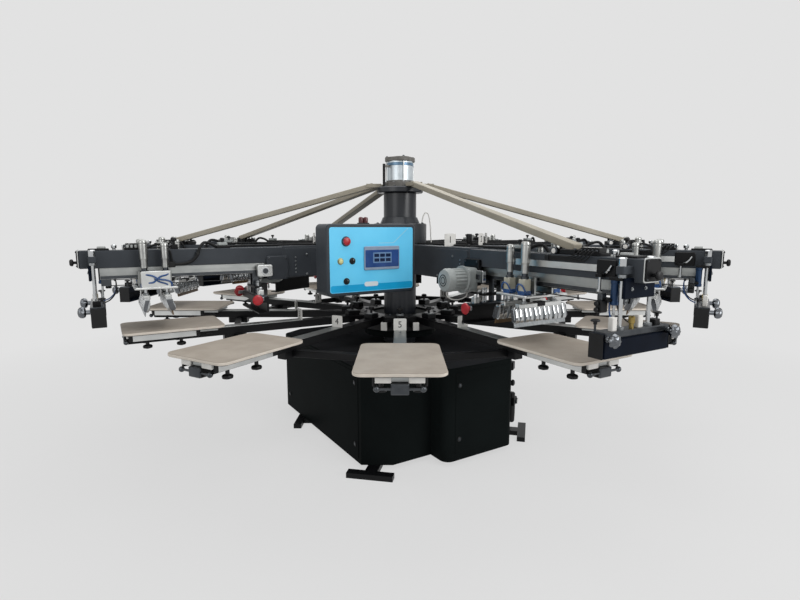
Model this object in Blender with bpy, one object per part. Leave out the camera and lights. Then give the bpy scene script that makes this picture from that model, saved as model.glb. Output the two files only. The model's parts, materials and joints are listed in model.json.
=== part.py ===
"""Automatic screen printing carousel: twelve pallets turn and rise under ten print heads.

The frame's origin is on the turning axis at floor level, +Z is up and the loading side faces -Y.
Azimuths are in degrees from -Y, growing towards +X. In the frame of a head or of a station,
x runs out from the axis, y runs along the turn and z is the height above the floor.
"""

import math

import bmesh
import bpy
from mathutils import Matrix, Vector

# Clearances
GAP = 0.0003
RUNNING_GAP = 0.0005
WELD = 0.003

# Floor frame and its skirt
BASE_AZIMUTH = 32.0
FLOOR_PLATE = 0.320
LEG_WIDTH = 0.080
LEG_HEIGHT = 0.034
FRONT_LEG_ANGLE = 43.3
FRONT_LEG_REACH = 0.918
BACK_LEG_ANGLE = 123.0
BACK_LEG_REACH = 0.765
FOOT_BAR_LENGTH = 0.295
FOOT_BAR_WIDTH = 0.055
SOCKET_WALL = 0.060
SOCKET_HEIGHT = 0.340
SHELF_REACH = 0.500
SHELF_WIDTH = 0.260
SHELF_THICKNESS = 0.016
SKIRT_TOP = 0.655
SKIRT_FRONT = 0.675
SKIRT_BACK = 0.900
SKIRT_SIDE = 0.645
SKIRT_CHAMFER_LENGTH = 0.110
SKIRT_CHAMFER_WIDTH = 0.170
SKIRT_WALL = 0.005
SKIRT_HOLE = 0.240
CABINET_REACH = 0.840
CABINET_LEFT = -0.180
CABINET_RIGHT = 0.410
CABINET_CORNER = 0.060

# Index drive inside the base
GEARBOX_SIDE = 0.190
GEARBOX_HEIGHT = 0.150
GEARBOX_INSET = 0.030
INDEX_MOTOR_RAISED = 0.003
INDEX_MOTOR_RADIUS = 0.070
INDEX_MOTOR_LENGTH = 0.240
INDEX_SHAFT_RADIUS = 0.028
INDEX_SHAFT_LENGTH = 0.110

# Column, lift cylinder and lifting gear
COLUMN_RADIUS = 0.1225
COLUMN_WALL = 0.0225
COLUMN_ABOVE_ARMS = 0.3827
LIFT_STROKE = 0.045
CROSSHEAD_LENGTH = 0.380
CROSSHEAD_WIDTH = 0.050
CROSSHEAD_HEIGHT = 0.040
LIFT_ROD_RADIUS = 0.020
PISTON_HEIGHT = 0.040
BARREL_RADIUS = 0.095
BARREL_WALL = 0.008
CAP_RADIUS = 0.115
LOWER_CAP_HEIGHT = 0.038
UPPER_CAP_HEIGHT = 0.032
BARREL_LENGTH = 0.147
TIE_ROD_RADIUS = 0.007
TIE_ROD_COUNT = 4
TIE_ROD_AZIMUTH = 15.0
SLEEVE_CLEARANCE = 0.090
SLEEVE_FLANGE_RADIUS = 0.275
SLEEVE_FLANGE_HEIGHT = 0.050
SLEEVE_HEIGHT = 0.150

# Pallet carousel
STATION_COUNT = 12
FIRST_STATION_AZIMUTH = -120.0
SPIDER_HUB_BORE = 0.210
SPIDER_HUB_RADIUS = 0.310
SPIDER_HUB_HEIGHT = 0.1097
SPIDER_ARM_WIDTH = 0.076
SPIDER_ARM_HEIGHT = 0.050
RIM_TUBE_WIDTH = 0.040
RIM_TUBE_HEIGHT = 0.042
RIM_BEFORE_PALLET = 0.090
SADDLE_WIDTH = 0.210
SADDLE_THICKNESS = 0.0247
SADDLE_INSET = 0.030
ARM_END_INSET = 0.012
PALLET_WIDTH = 0.400
PALLET_LENGTH = 0.560
PALLET_THICKNESS = 0.020
PALLET_CORNER = 0.045
PALLET_INNER = 1.340
TAG_RADIUS = 0.800
TAG_WIDTH = 0.080
TAG_HEIGHT = 0.077
TAG_THICKNESS = 0.006

# Print bars under each carriage
SCREEN_SPACE = 0.005
BAR_STROKE = 0.035
BAR_LENGTH = 0.370
BAR_SPACING = 0.112
BLADE_DROP = 0.027
SQUEEGEE_BLADE = 0.009
FLOOD_BLADE = 0.004
HOLDER_HEIGHT = 0.065
SQUEEGEE_HOLDER = 0.034
FLOOD_HOLDER = 0.020
YOKE_LENGTH = 0.300
YOKE_WIDTH = 0.036
YOKE_HEIGHT = 0.025
YOKE_ROOM = 0.033
BAR_ROD_RADIUS = 0.009
BAR_ROD_SPREAD = 0.210
BAR_ROD_TOP_INSET = 0.050

# Carriages
CARRIAGE_LENGTH = 0.230
CARRIAGE_WIDTH = 0.300
CARRIAGE_PLATE = 0.012
CHEEK_LENGTH = 0.180
CHEEK_THICKNESS = 0.012
CHEEK_HEIGHT = 0.090
SLIDE_BLOCK_LENGTH = 0.140
SLIDE_BLOCK_HEIGHT = 0.040
POST_SIDE = 0.044
POST_HEIGHT = 0.088
SQUEEGEE_CYLINDER_RADIUS = 0.030
FLOOD_CYLINDER_RADIUS = 0.024
CYLINDER_HEIGHT = 0.170
CYLINDER_END_WALL = 0.015
CARRIAGE_AFTER_JAW = 0.135
CARRIAGE_STROKE = 0.430

# Print arms with their rails, drives and screen clamps
HEAD_AZIMUTHS = (30, 60, 90, 120, 150, 180, -150, -120, -90, -60)
PARKED_FROM_INNER_END = {30: 0.125}
RAIL_WIDTH = 0.060
RAIL_HEIGHT = 0.065
RAIL_ROOM = 0.048
RAIL_END_INSET = 0.100
ARM_WIDTH = 0.100
ARM_HEIGHT = 0.100
ARM_PAST_JAW = 0.115
ROOT_WIDTH = 0.112
ROOT_REACH = 0.930
ROOT_DROP = 0.100
ROOT_RISE = 0.008
HUB_RADIUS = 0.200
HUB_BELOW_ARMS = 0.110
HUB_ABOVE_ARMS = 0.160
HUB_CONE_HEIGHT = 0.045
HUB_CONE_FOOT = 0.150
HUB_CONE_TOP = 0.130
DRIVE_RADIUS = 0.970
DRIVE_DROP = 0.088
DRIVE_PLATE_LENGTH = 0.140
DRIVE_PLATE_HEIGHT = 0.230
DRIVE_PLATE_THICKNESS = 0.022
MOTOR_RADIUS = 0.072
MOTOR_LENGTH = 0.260
JAW_CLEARANCE = 0.060
JAW_DEPTH = 0.065
JAW_LENGTH = 0.440
JAW_LEDGE = 0.008
JAW_MOUTH = 0.062
JAW_BACK = 0.014
CLAMP_BAR_HEIGHT = 0.036
CLAMP_ROD_RADIUS = 0.009
CLAMP_ROD_SPREAD = 0.190
CLAMP_LUG_WIDTH = 0.230
CLAMP_LUG_HEIGHT = 0.050
CLAMP_LUG_LENGTH = 0.040
CLAMP_PLATE_WIDTH = 0.120
CLAMP_PLATE_DROP = 0.100
REAR_JAW_BEFORE_PALLET = 0.200
REAR_JAW_LENGTH = 0.420
REAR_HANGER_WIDTH = 0.070
REAR_HANGER_LENGTH = 0.040
HAND_KNOB_RADIUS = 0.020
HAND_KNOB_LENGTH = 0.042
VALVE_BOX_AFTER_FOOT = 0.010
VALVE_BOX_LENGTH = 0.180
VALVE_BOX_WIDTH = 0.080
VALVE_BOX_HEIGHT = 0.040

# Crown of struts on the column
CROWN_RADIUS = 0.172
CROWN_HEIGHT = 0.042
STRUT_AZIMUTHS = (30, 90, 120, 180, -150, -120, -90)
STRUT_WIDTH = 0.065
STRUT_DEPTH = 0.040
STRUT_REACH = 1.660
STRUT_ROOT = 0.140
STRUT_RISE = 0.048
STRUT_FOOT_LENGTH = 0.100
STRUT_FOOT_HEIGHT = 0.050

# Control panel
PANEL_X = -0.163
PANEL_Y = -0.800
PANEL_BELOW_ARM_TOP = 0.062
PANEL_AZIMUTH = 33.0
PANEL_WIDTH = 0.620
PANEL_HEIGHT = 0.425
PANEL_DEPTH = 0.150
PANEL_WALL = 0.004
PANEL_CORNER = 0.030
FASCIA_WIDTH = 0.580
FASCIA_HEIGHT = 0.385
FASCIA_THICKNESS = 0.004
FASCIA_LIP = 0.012
PANEL_ARM_WIDTH = 0.070
PANEL_ARM_HEIGHT = 0.070
SCREEN_WIDTH = 0.250
SCREEN_HEIGHT = 0.143
SCREEN_BEZEL = 0.010
SCREEN_BODY_DEPTH = 0.040
SCREEN_X = 0.060
SCREEN_Z = 0.007
LEFT_BUTTON_X = -0.221
BUTTON_COLUMN_X = -0.183
SELECTOR_X = -0.143
ESTOP_Z = 0.110
START_Z = -0.006
POWER_Z = -0.125
STEM_LENGTH = 0.034
ESTOP_STEM_RADIUS = 0.011
ESTOP_RADIUS = 0.024
ESTOP_HEAD = 0.016
ESTOP_TRAVEL = 0.006
START_RADIUS = 0.014
START_HEAD = 0.010
START_STEM_RADIUS = 0.009
START_TRAVEL = 0.004
SELECTOR_RADIUS = 0.014
SELECTOR_HEAD = 0.010
SELECTOR_STEM_RADIUS = 0.008
SELECTOR_GRIP_WIDTH = 0.008
SELECTOR_GRIP_RISE = 0.010
BEACON_RADIUS = 0.015
BEACON_SPACING = 0.032
BEACON_HEIGHT = 0.036
BEACON_FOOT = 0.006
BEACON_X = -0.025

# Facets round a circle
COARSE = 10
FINE = 24
ROD_SIDES = 6
CORNER_STEPS = 3

# Heights, from the floor up
LEG_TOP = LEG_HEIGHT
COLUMN_FOOT = LEG_TOP + GAP
SKIRT_BOTTOM = LEG_TOP + GAP
CROSSHEAD_BOTTOM = SKIRT_TOP + SLEEVE_CLEARANCE + GAP
CROSSHEAD_TOP = CROSSHEAD_BOTTOM + CROSSHEAD_HEIGHT
SLEEVE_BOTTOM = SKIRT_TOP + SLEEVE_CLEARANCE
SPIDER_BOTTOM = SLEEVE_BOTTOM + SLEEVE_FLANGE_HEIGHT + GAP
SPIDER_TOP = SPIDER_BOTTOM + SPIDER_HUB_HEIGHT
SPIDER_ARM_BOTTOM = SPIDER_TOP - SPIDER_ARM_HEIGHT
SADDLE_TOP = SPIDER_TOP + SADDLE_THICKNESS
PALLET_BOTTOM = SADDLE_TOP + GAP
PALLET_TOP = PALLET_BOTTOM + PALLET_THICKNESS
SCREEN_BOTTOM = PALLET_TOP + LIFT_STROKE + SCREEN_SPACE
JAW_TOP = SCREEN_BOTTOM + JAW_LEDGE + JAW_MOUTH + CLAMP_BAR_HEIGHT
BLADE_BOTTOM = SCREEN_BOTTOM + BAR_STROKE
HOLDER_BOTTOM = BLADE_BOTTOM + BLADE_DROP
YOKE_BOTTOM = HOLDER_BOTTOM + HOLDER_HEIGHT
YOKE_TOP = YOKE_BOTTOM + YOKE_HEIGHT
PLATE_BOTTOM = YOKE_TOP + YOKE_ROOM
PLATE_TOP = PLATE_BOTTOM + CARRIAGE_PLATE
RAIL_BOTTOM = PLATE_TOP + RAIL_ROOM
ARM_BOTTOM = RAIL_BOTTOM + RAIL_HEIGHT
ARM_TOP = ARM_BOTTOM + ARM_HEIGHT
CYLINDER_BOTTOM = PLATE_TOP + POST_HEIGHT
CYLINDER_TOP = CYLINDER_BOTTOM + CYLINDER_HEIGHT
COLUMN_TOP = ARM_TOP + COLUMN_ABOVE_ARMS
CROWN_BOTTOM = COLUMN_TOP + GAP
CROWN_TOP = CROWN_BOTTOM + CROWN_HEIGHT
LIFT_CYLINDER_BOTTOM = CROWN_TOP + GAP
BARREL_BOTTOM = LIFT_CYLINDER_BOTTOM + LOWER_CAP_HEIGHT
BARREL_TOP = BARREL_BOTTOM + BARREL_LENGTH
PANEL_MIDDLE = ARM_TOP - PANEL_BELOW_ARM_TOP

# Distances out from the axis
PALLET_OUTER = PALLET_INNER + PALLET_LENGTH
FRONT_JAW = math.hypot(PALLET_OUTER, PALLET_WIDTH / 2) + JAW_CLEARANCE
REAR_JAW = PALLET_INNER - REAR_JAW_BEFORE_PALLET
ARM_REACH = FRONT_JAW + ARM_PAST_JAW
CARRIAGE_INNER = REAR_JAW + CARRIAGE_AFTER_JAW
RIM_RADIUS = PALLET_INNER - RIM_BEFORE_PALLET
SQUEEGEE_AT = -BAR_SPACING / 2
FLOOD_AT = BAR_SPACING / 2


def turn(azimuth):
    """Rotation that carries x outwards along an azimuth."""
    return Matrix.Rotation(math.radians(azimuth - 90.0), 4, "Z")


# Shapes

def mesh_of(name, points, faces):
    mesh = bpy.data.meshes.new(name)
    mesh.from_pydata(points, [], faces)
    shell = bmesh.new()
    shell.from_mesh(mesh)
    bmesh.ops.recalc_face_normals(shell, faces=shell.faces)
    shell.to_mesh(mesh)
    shell.free()
    return mesh


def prism(outline, bottom, top):
    """A flat outline raised from one height to another."""
    count = len(outline)
    points = [(x, y, bottom) for x, y in outline] + [(x, y, top) for x, y in outline]
    sides = [(i, (i + 1) % count, count + (i + 1) % count, count + i) for i in range(count)]
    return mesh_of("prism", points, [tuple(range(count)), tuple(range(count, 2 * count)), *sides])


def box(x, y, z):
    """A block between two values on each axis."""
    return prism([(x[0], y[0]), (x[1], y[0]), (x[1], y[1]), (x[0], y[1])], z[0], z[1])


def beam(start, end):
    """A straight block from one ring of four corners to another."""
    sides = [(i, (i + 1) % 4, 4 + (i + 1) % 4, 4 + i) for i in range(4)]
    return mesh_of("beam", [*start, *end], [(0, 1, 2, 3), (4, 5, 6, 7), *sides])


def span(middle, width):
    """The two ends of a width centred on a value."""
    return (middle - width / 2, middle + width / 2)


def circle(radius, sides, centre=(0.0, 0.0)):
    steps = [2 * math.pi * i / sides for i in range(sides)]
    return [(centre[0] + radius * math.cos(a), centre[1] + radius * math.sin(a)) for a in steps]


def rounded(x, y, radius):
    """A rectangle's outline with a round corner at each end of its sides."""
    outline = []
    corners = ((x[1], y[1], 0), (x[0], y[1], 1), (x[0], y[0], 2), (x[1], y[0], 3))
    for corner_x, corner_y, quarter in corners:
        middle_x = corner_x - radius if quarter in (0, 3) else corner_x + radius
        middle_y = corner_y - radius if quarter in (0, 1) else corner_y + radius
        for step in range(CORNER_STEPS + 1):
            angle = math.pi / 2 * (quarter + step / CORNER_STEPS)
            outline.append((middle_x + radius * math.cos(angle), middle_y + radius * math.sin(angle)))
    return outline


def post(radius, bottom, top, sides, centre=(0.0, 0.0)):
    """An upright round bar."""
    return prism(circle(radius, sides, centre), bottom, top)


def bar(radius, start, end, sides):
    """A round bar between two points."""
    axis = Vector(end) - Vector(start)
    upright = Vector((0.0, 0.0, 1.0))
    place = Matrix.Translation(start) @ upright.rotation_difference(axis).to_matrix().to_4x4()
    return moved(post(radius, 0.0, axis.length, sides), place)


def turned(profile, sides):
    """A closed profile of radius and height, spun about the upright axis."""
    shell = bmesh.new()
    ring = [shell.verts.new((radius, 0.0, height)) for radius, height in profile]
    for i, vertex in enumerate(ring):
        following = ring[(i + 1) % len(ring)]
        if vertex.co.x > 0.0 or following.co.x > 0.0:
            shell.edges.new((vertex, following))
    bmesh.ops.spin(shell, geom=shell.verts[:] + shell.edges[:], axis=(0, 0, 1), cent=(0, 0, 0),
                   angle=2 * math.pi, steps=sides, use_merge=True)
    bmesh.ops.remove_doubles(shell, verts=shell.verts, dist=1e-6)
    bmesh.ops.dissolve_degenerate(shell, edges=shell.edges, dist=1e-6)
    bmesh.ops.recalc_face_normals(shell, faces=shell.faces)
    mesh = bpy.data.meshes.new("turned")
    shell.to_mesh(mesh)
    shell.free()
    return mesh


def moved(mesh, matrix):
    mesh.transform(matrix)
    return mesh


def boolean(first, others, operation):
    """One mesh combined with several others by an exact Boolean."""
    group = bpy.data.collections.new("operands")
    bpy.context.scene.collection.children.link(group)
    for mesh in others:
        group.objects.link(bpy.data.objects.new("operand", mesh))
    host = bpy.data.objects.new("host", first)
    bpy.context.scene.collection.objects.link(host)
    modifier = host.modifiers.new("boolean", "BOOLEAN")
    modifier.operation = operation
    modifier.solver = "EXACT"
    modifier.operand_type = "COLLECTION"
    modifier.collection = group
    graph = bpy.context.evaluated_depsgraph_get()
    result = bpy.data.meshes.new_from_object(host.evaluated_get(graph))
    for thing in [host, *group.objects]:
        bpy.data.objects.remove(thing)
    bpy.data.collections.remove(group)
    return result


def welded(meshes):
    return boolean(meshes[0], meshes[1:], "UNION")


def cut(mesh, cutters):
    return boolean(mesh, cutters, "DIFFERENCE")


# Finishes and placing

def linear(channel):
    return channel / 12.92 if channel <= 0.04045 else ((channel + 0.055) / 1.055) ** 2.4


def finish(name, colour, roughness, metallic=0.0):
    material = bpy.data.materials.new(name)
    material.use_nodes = True
    shader = material.node_tree.nodes["Principled BSDF"]
    channels = [linear(int(colour[i:i + 2], 16) / 255) for i in (0, 2, 4)]
    shader.inputs["Base Color"].default_value = (*channels, 1.0)
    shader.inputs["Roughness"].default_value = roughness
    shader.inputs["Metallic"].default_value = metallic
    return material


def empty(name, parent=None, matrix=None):
    thing = bpy.data.objects.new(name, None)
    bpy.context.scene.collection.objects.link(thing)
    thing.parent = parent
    if matrix is not None:
        thing.matrix_local = matrix
    return thing


def piece(name, mesh, material, parent=None, matrix=None):
    """A named sub-part, shaded smooth across its shallow edges."""
    if not mesh.materials:
        mesh.materials.append(material)
        mesh.shade_smooth()
        mesh.set_sharp_from_angle(angle=math.radians(35.0))
    thing = bpy.data.objects.new(name, mesh)
    bpy.context.scene.collection.objects.link(thing)
    thing.parent = parent
    if matrix is not None:
        thing.matrix_local = matrix
    return thing


# Floor frame, skirt and index drive

def base_frame_mesh():
    """Four legs with cross feet flat on the floor, welded round the column's socket.

    The frame stands turned, so the socket is turned back to lay its facets along the column's.
    """
    socket = turned([(COLUMN_RADIUS + GAP, LEG_TOP - WELD), (COLUMN_RADIUS + SOCKET_WALL, LEG_TOP - WELD),
                     (COLUMN_RADIUS + SOCKET_WALL, LEG_TOP + SOCKET_HEIGHT),
                     (COLUMN_RADIUS + GAP, LEG_TOP + SOCKET_HEIGHT)], FINE)
    socket = moved(socket, turn(BASE_AZIMUTH).inverted())
    floor_plate = box(span(0, FLOOR_PLATE), span(0, FLOOR_PLATE), (0.0, LEG_TOP))
    shelf_top = LEG_TOP + SOCKET_HEIGHT
    shelf = box((COLUMN_RADIUS + SOCKET_WALL - WELD * 4, SHELF_REACH), span(0, SHELF_WIDTH),
                (shelf_top - SHELF_THICKNESS, shelf_top))
    meshes = [socket, floor_plate, shelf]
    for angle, reach in ((FRONT_LEG_ANGLE, FRONT_LEG_REACH), (BACK_LEG_ANGLE, BACK_LEG_REACH)):
        for side in (-1, 1):
            leg = box((0.0, reach), span(0, LEG_WIDTH), (0.0, LEG_TOP))
            foot_bar = box((reach - WELD, reach + FOOT_BAR_WIDTH), span(0, FOOT_BAR_LENGTH), (0.0, LEG_TOP))
            way = Matrix.Rotation(math.radians(side * angle), 4, "Z")
            meshes += [moved(mesh, way) for mesh in (leg, foot_bar)]
    return welded(meshes)


def skirt_outline(inset):
    """The skirt's rectangular plan with its corners cut, drawn in by a wall."""
    front = SKIRT_FRONT - inset
    back = inset - SKIRT_BACK
    side = SKIRT_SIDE - inset
    slant = math.hypot(SKIRT_CHAMFER_LENGTH, SKIRT_CHAMFER_WIDTH)
    normal_x = SKIRT_CHAMFER_WIDTH / slant
    normal_y = SKIRT_CHAMFER_LENGTH / slant
    length = SKIRT_CHAMFER_LENGTH - inset * (1 - (1 - normal_y) / normal_x)
    width = SKIRT_CHAMFER_WIDTH - inset * (1 - (1 - normal_x) / normal_y)
    return [(front, width - side), (front, side - width), (front - length, side), (back + length, side),
            (back, side - width), (back, width - side), (back + length, -side), (front - length, -side)]


def cabinet_outline(inset):
    return rounded((0.0, CABINET_REACH - inset), (CABINET_LEFT + inset, CABINET_RIGHT - inset),
                   CABINET_CORNER - inset)


def base_skirt_mesh():
    """A sheet metal skirt with its front cabinet, open below and round the column."""
    outside = welded([prism(skirt_outline(0.0), SKIRT_BOTTOM, SKIRT_TOP),
                      prism(cabinet_outline(0.0), SKIRT_BOTTOM, SKIRT_TOP)])
    below = SKIRT_BOTTOM - SKIRT_WALL
    inside = welded([prism(skirt_outline(SKIRT_WALL), below, SKIRT_TOP - SKIRT_WALL),
                     prism(cabinet_outline(SKIRT_WALL), below, SKIRT_TOP - SKIRT_WALL)])
    return cut(outside, [inside, post(SKIRT_HOLE, SKIRT_BOTTOM, SKIRT_TOP + SKIRT_WALL, FINE)])


def index_gearmotor_mesh():
    """A gearbox on the frame's shelf with its motor lying outwards and its shaft upwards."""
    bottom = LEG_TOP + SOCKET_HEIGHT + GAP
    inner = SHELF_REACH - GEARBOX_INSET - GEARBOX_SIDE
    middle = inner + GEARBOX_SIDE / 2
    top = bottom + GEARBOX_HEIGHT
    motor_height = bottom + INDEX_MOTOR_RADIUS + INDEX_MOTOR_RAISED
    case = box((inner, inner + GEARBOX_SIDE), span(0, GEARBOX_SIDE), (bottom, top))
    motor_start = inner + GEARBOX_SIDE - WELD
    motor = bar(INDEX_MOTOR_RADIUS, (motor_start, 0.0, motor_height),
                (motor_start + INDEX_MOTOR_LENGTH, 0.0, motor_height), COARSE)
    shaft = post(INDEX_SHAFT_RADIUS, top - WELD, top + INDEX_SHAFT_LENGTH, COARSE, (middle, 0.0))
    return welded([case, motor, shaft])


# Column and lifting gear

def column_mesh():
    """A tube with a slot on each side for the lifting crosshead."""
    inner = COLUMN_RADIUS - COLUMN_WALL
    tube = turned([(inner, COLUMN_FOOT), (COLUMN_RADIUS, COLUMN_FOOT), (COLUMN_RADIUS, COLUMN_TOP),
                   (inner, COLUMN_TOP)], FINE)
    slot = box(span(0, CROSSHEAD_LENGTH), span(0, CROSSHEAD_WIDTH + 2 * RUNNING_GAP),
               (CROSSHEAD_BOTTOM - GAP, CROSSHEAD_TOP + LIFT_STROKE + RUNNING_GAP))
    return cut(tube, [slot])


def lift_sleeve_mesh():
    """The flanged ring that slides on the column and carries the pallet carousel."""
    bore = COLUMN_RADIUS + RUNNING_GAP
    collar = SPIDER_HUB_BORE - RUNNING_GAP
    flange_top = SLEEVE_BOTTOM + SLEEVE_FLANGE_HEIGHT
    ring = turned([(bore, SLEEVE_BOTTOM), (SLEEVE_FLANGE_RADIUS, SLEEVE_BOTTOM),
                   (SLEEVE_FLANGE_RADIUS, flange_top), (collar, flange_top),
                   (collar, SLEEVE_BOTTOM + SLEEVE_HEIGHT), (bore, SLEEVE_BOTTOM + SLEEVE_HEIGHT)], FINE)
    seat = box(span(0, CROSSHEAD_LENGTH + 2 * GAP), span(0, CROSSHEAD_WIDTH + 2 * GAP),
               (SLEEVE_BOTTOM - SLEEVE_CLEARANCE, CROSSHEAD_TOP + GAP))
    return cut(ring, [seat])


def lift_rod_mesh():
    """The lift cylinder's piston and long rod, with the crosshead at its foot."""
    piston_radius = BARREL_RADIUS - BARREL_WALL - RUNNING_GAP
    piston_bottom = BARREL_BOTTOM + RUNNING_GAP
    crosshead = box(span(0, CROSSHEAD_LENGTH), span(0, CROSSHEAD_WIDTH), (CROSSHEAD_BOTTOM, CROSSHEAD_TOP))
    rod = post(LIFT_ROD_RADIUS, CROSSHEAD_TOP - WELD, piston_bottom + WELD, COARSE)
    piston = post(piston_radius, piston_bottom, piston_bottom + PISTON_HEIGHT, FINE)
    return welded([crosshead, rod, piston])


def lift_cylinder_mesh():
    """A hollow barrel between two caps drawn together by tie rods, open below for its rod."""
    bore = BARREL_RADIUS - BARREL_WALL
    rod_hole = LIFT_ROD_RADIUS + RUNNING_GAP
    top = BARREL_TOP + UPPER_CAP_HEIGHT
    shell = turned([(rod_hole, LIFT_CYLINDER_BOTTOM), (CAP_RADIUS, LIFT_CYLINDER_BOTTOM),
                    (CAP_RADIUS, BARREL_BOTTOM), (BARREL_RADIUS, BARREL_BOTTOM),
                    (BARREL_RADIUS, BARREL_TOP), (CAP_RADIUS, BARREL_TOP), (CAP_RADIUS, top), (0.0, top),
                    (0.0, BARREL_TOP), (bore, BARREL_TOP), (bore, BARREL_BOTTOM),
                    (rod_hole, BARREL_BOTTOM)], FINE)
    reach = (BARREL_RADIUS + CAP_RADIUS) / 2
    rods = []
    for number in range(TIE_ROD_COUNT):
        way = turn(TIE_ROD_AZIMUTH + 360 / TIE_ROD_COUNT * number)
        rods.append(moved(post(TIE_ROD_RADIUS, BARREL_BOTTOM - WELD, BARREL_TOP + WELD, ROD_SIDES,
                               (reach, 0.0)), way))
    return welded([shell, *rods])


# Pallet carousel

def station_azimuth(number):
    return FIRST_STATION_AZIMUTH + 360 / STATION_COUNT * (number - 1)


def rim_mesh():
    """The closed polygon of tube under the arms."""
    slope = math.cos(math.pi / STATION_COUNT)
    inner = RIM_RADIUS - RIM_TUBE_WIDTH / 2 / slope
    outer = RIM_RADIUS + RIM_TUBE_WIDTH / 2 / slope
    top = SPIDER_ARM_BOTTOM + WELD
    profile = [(inner, top - RIM_TUBE_HEIGHT), (outer, top - RIM_TUBE_HEIGHT), (outer, top), (inner, top)]
    return moved(turned(profile, STATION_COUNT), turn(station_azimuth(1)))


def pallet_spider_mesh():
    """Hub, arms, rim, pallet saddles and station tags, welded into one wheel."""
    hub = turned([(SPIDER_HUB_BORE, SPIDER_BOTTOM), (SPIDER_HUB_RADIUS, SPIDER_BOTTOM),
                  (SPIDER_HUB_RADIUS, SPIDER_TOP + WELD), (SPIDER_HUB_BORE, SPIDER_TOP + WELD)], FINE)
    meshes = [hub, rim_mesh()]
    for number in range(1, STATION_COUNT + 1):
        arm = box((SPIDER_HUB_RADIUS - WELD * 5, PALLET_OUTER - ARM_END_INSET), span(0, SPIDER_ARM_WIDTH),
                  (SPIDER_ARM_BOTTOM, SPIDER_TOP))
        saddle = box((PALLET_INNER + SADDLE_INSET, PALLET_OUTER - SADDLE_INSET), span(0, SADDLE_WIDTH),
                     (SPIDER_TOP - WELD, SADDLE_TOP))
        tag = box((TAG_RADIUS, TAG_RADIUS + TAG_THICKNESS), span(0, TAG_WIDTH),
                  (SPIDER_TOP - WELD, SPIDER_TOP + TAG_HEIGHT))
        way = turn(station_azimuth(number))
        meshes += [moved(mesh, way) for mesh in (arm, saddle, tag)]
    return welded(meshes)


def pallet_mesh():
    """A flat board with round corners."""
    outline = rounded((PALLET_INNER, PALLET_OUTER), span(0, PALLET_WIDTH), PALLET_CORNER)
    return prism(outline, PALLET_BOTTOM, PALLET_TOP)


# Print heads

def screen_jaw(open_side, face, length):
    """A channel along y that holds one end of a screen, open towards one side of x."""
    ledge_top = SCREEN_BOTTOM + JAW_LEDGE
    lip = ledge_top + JAW_MOUTH
    back = face - open_side * JAW_DEPTH
    web = back + open_side * JAW_BACK
    section = [(face, SCREEN_BOTTOM), (face, ledge_top), (web, ledge_top), (web, lip), (face, lip),
               (face, JAW_TOP), (back, JAW_TOP), (back, SCREEN_BOTTOM)]
    upright = Matrix(((1, 0, 0, 0), (0, 0, -1, 0), (0, 1, 0, 0), (0, 0, 0, 1)))
    return moved(prism(section, -length / 2, length / 2), upright)


def front_clamp():
    """The outer screen clamp, hung on two bright rods from lugs on the arm's end."""
    rod_x = FRONT_JAW + JAW_DEPTH - CLAMP_LUG_LENGTH / 2
    lug_top = ARM_TOP - CLAMP_LUG_HEIGHT / 2
    meshes = [screen_jaw(-1, FRONT_JAW, JAW_LENGTH)]
    meshes.append(box(span(rod_x, CLAMP_LUG_LENGTH), span(0, CLAMP_LUG_WIDTH),
                      (lug_top - CLAMP_LUG_HEIGHT, lug_top)))
    meshes.append(box(span(rod_x, CLAMP_LUG_LENGTH / 2), span(0, CLAMP_PLATE_WIDTH),
                      (ARM_BOTTOM - CLAMP_PLATE_DROP, ARM_BOTTOM + WELD)))
    for side in (-1, 1):
        meshes.append(post(CLAMP_ROD_RADIUS, JAW_TOP - WELD, lug_top - WELD, ROD_SIDES,
                           (rod_x, side * CLAMP_ROD_SPREAD / 2)))
    return meshes


def rear_clamp():
    """The inner screen clamp, on a hanger under the rail."""
    hanger_x = REAR_JAW - JAW_DEPTH / 2
    hanger = box(span(hanger_x, REAR_HANGER_LENGTH), span(0, REAR_HANGER_WIDTH),
                 (JAW_TOP - WELD, RAIL_BOTTOM + WELD))
    return [screen_jaw(1, REAR_JAW, REAR_JAW_LENGTH), hanger]


def head_drive():
    """The carriage's drive motor on one side of the arm and its bearing plate on the other."""
    axis_height = ARM_BOTTOM - DRIVE_DROP
    side = ARM_WIDTH / 2
    heights = (ARM_BOTTOM + ARM_HEIGHT / 2 - DRIVE_PLATE_HEIGHT, ARM_BOTTOM + ARM_HEIGHT / 2)
    meshes = []
    for hand in (-1, 1):
        across = tuple(sorted((hand * (side - WELD), hand * (side + DRIVE_PLATE_THICKNESS))))
        meshes.append(box(span(DRIVE_RADIUS, DRIVE_PLATE_LENGTH), across, heights))
    start = -(side + DRIVE_PLATE_THICKNESS - WELD)
    meshes.append(bar(MOTOR_RADIUS, (DRIVE_RADIUS, start, axis_height),
                      (DRIVE_RADIUS, start - MOTOR_LENGTH, axis_height), COARSE))
    return meshes


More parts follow.
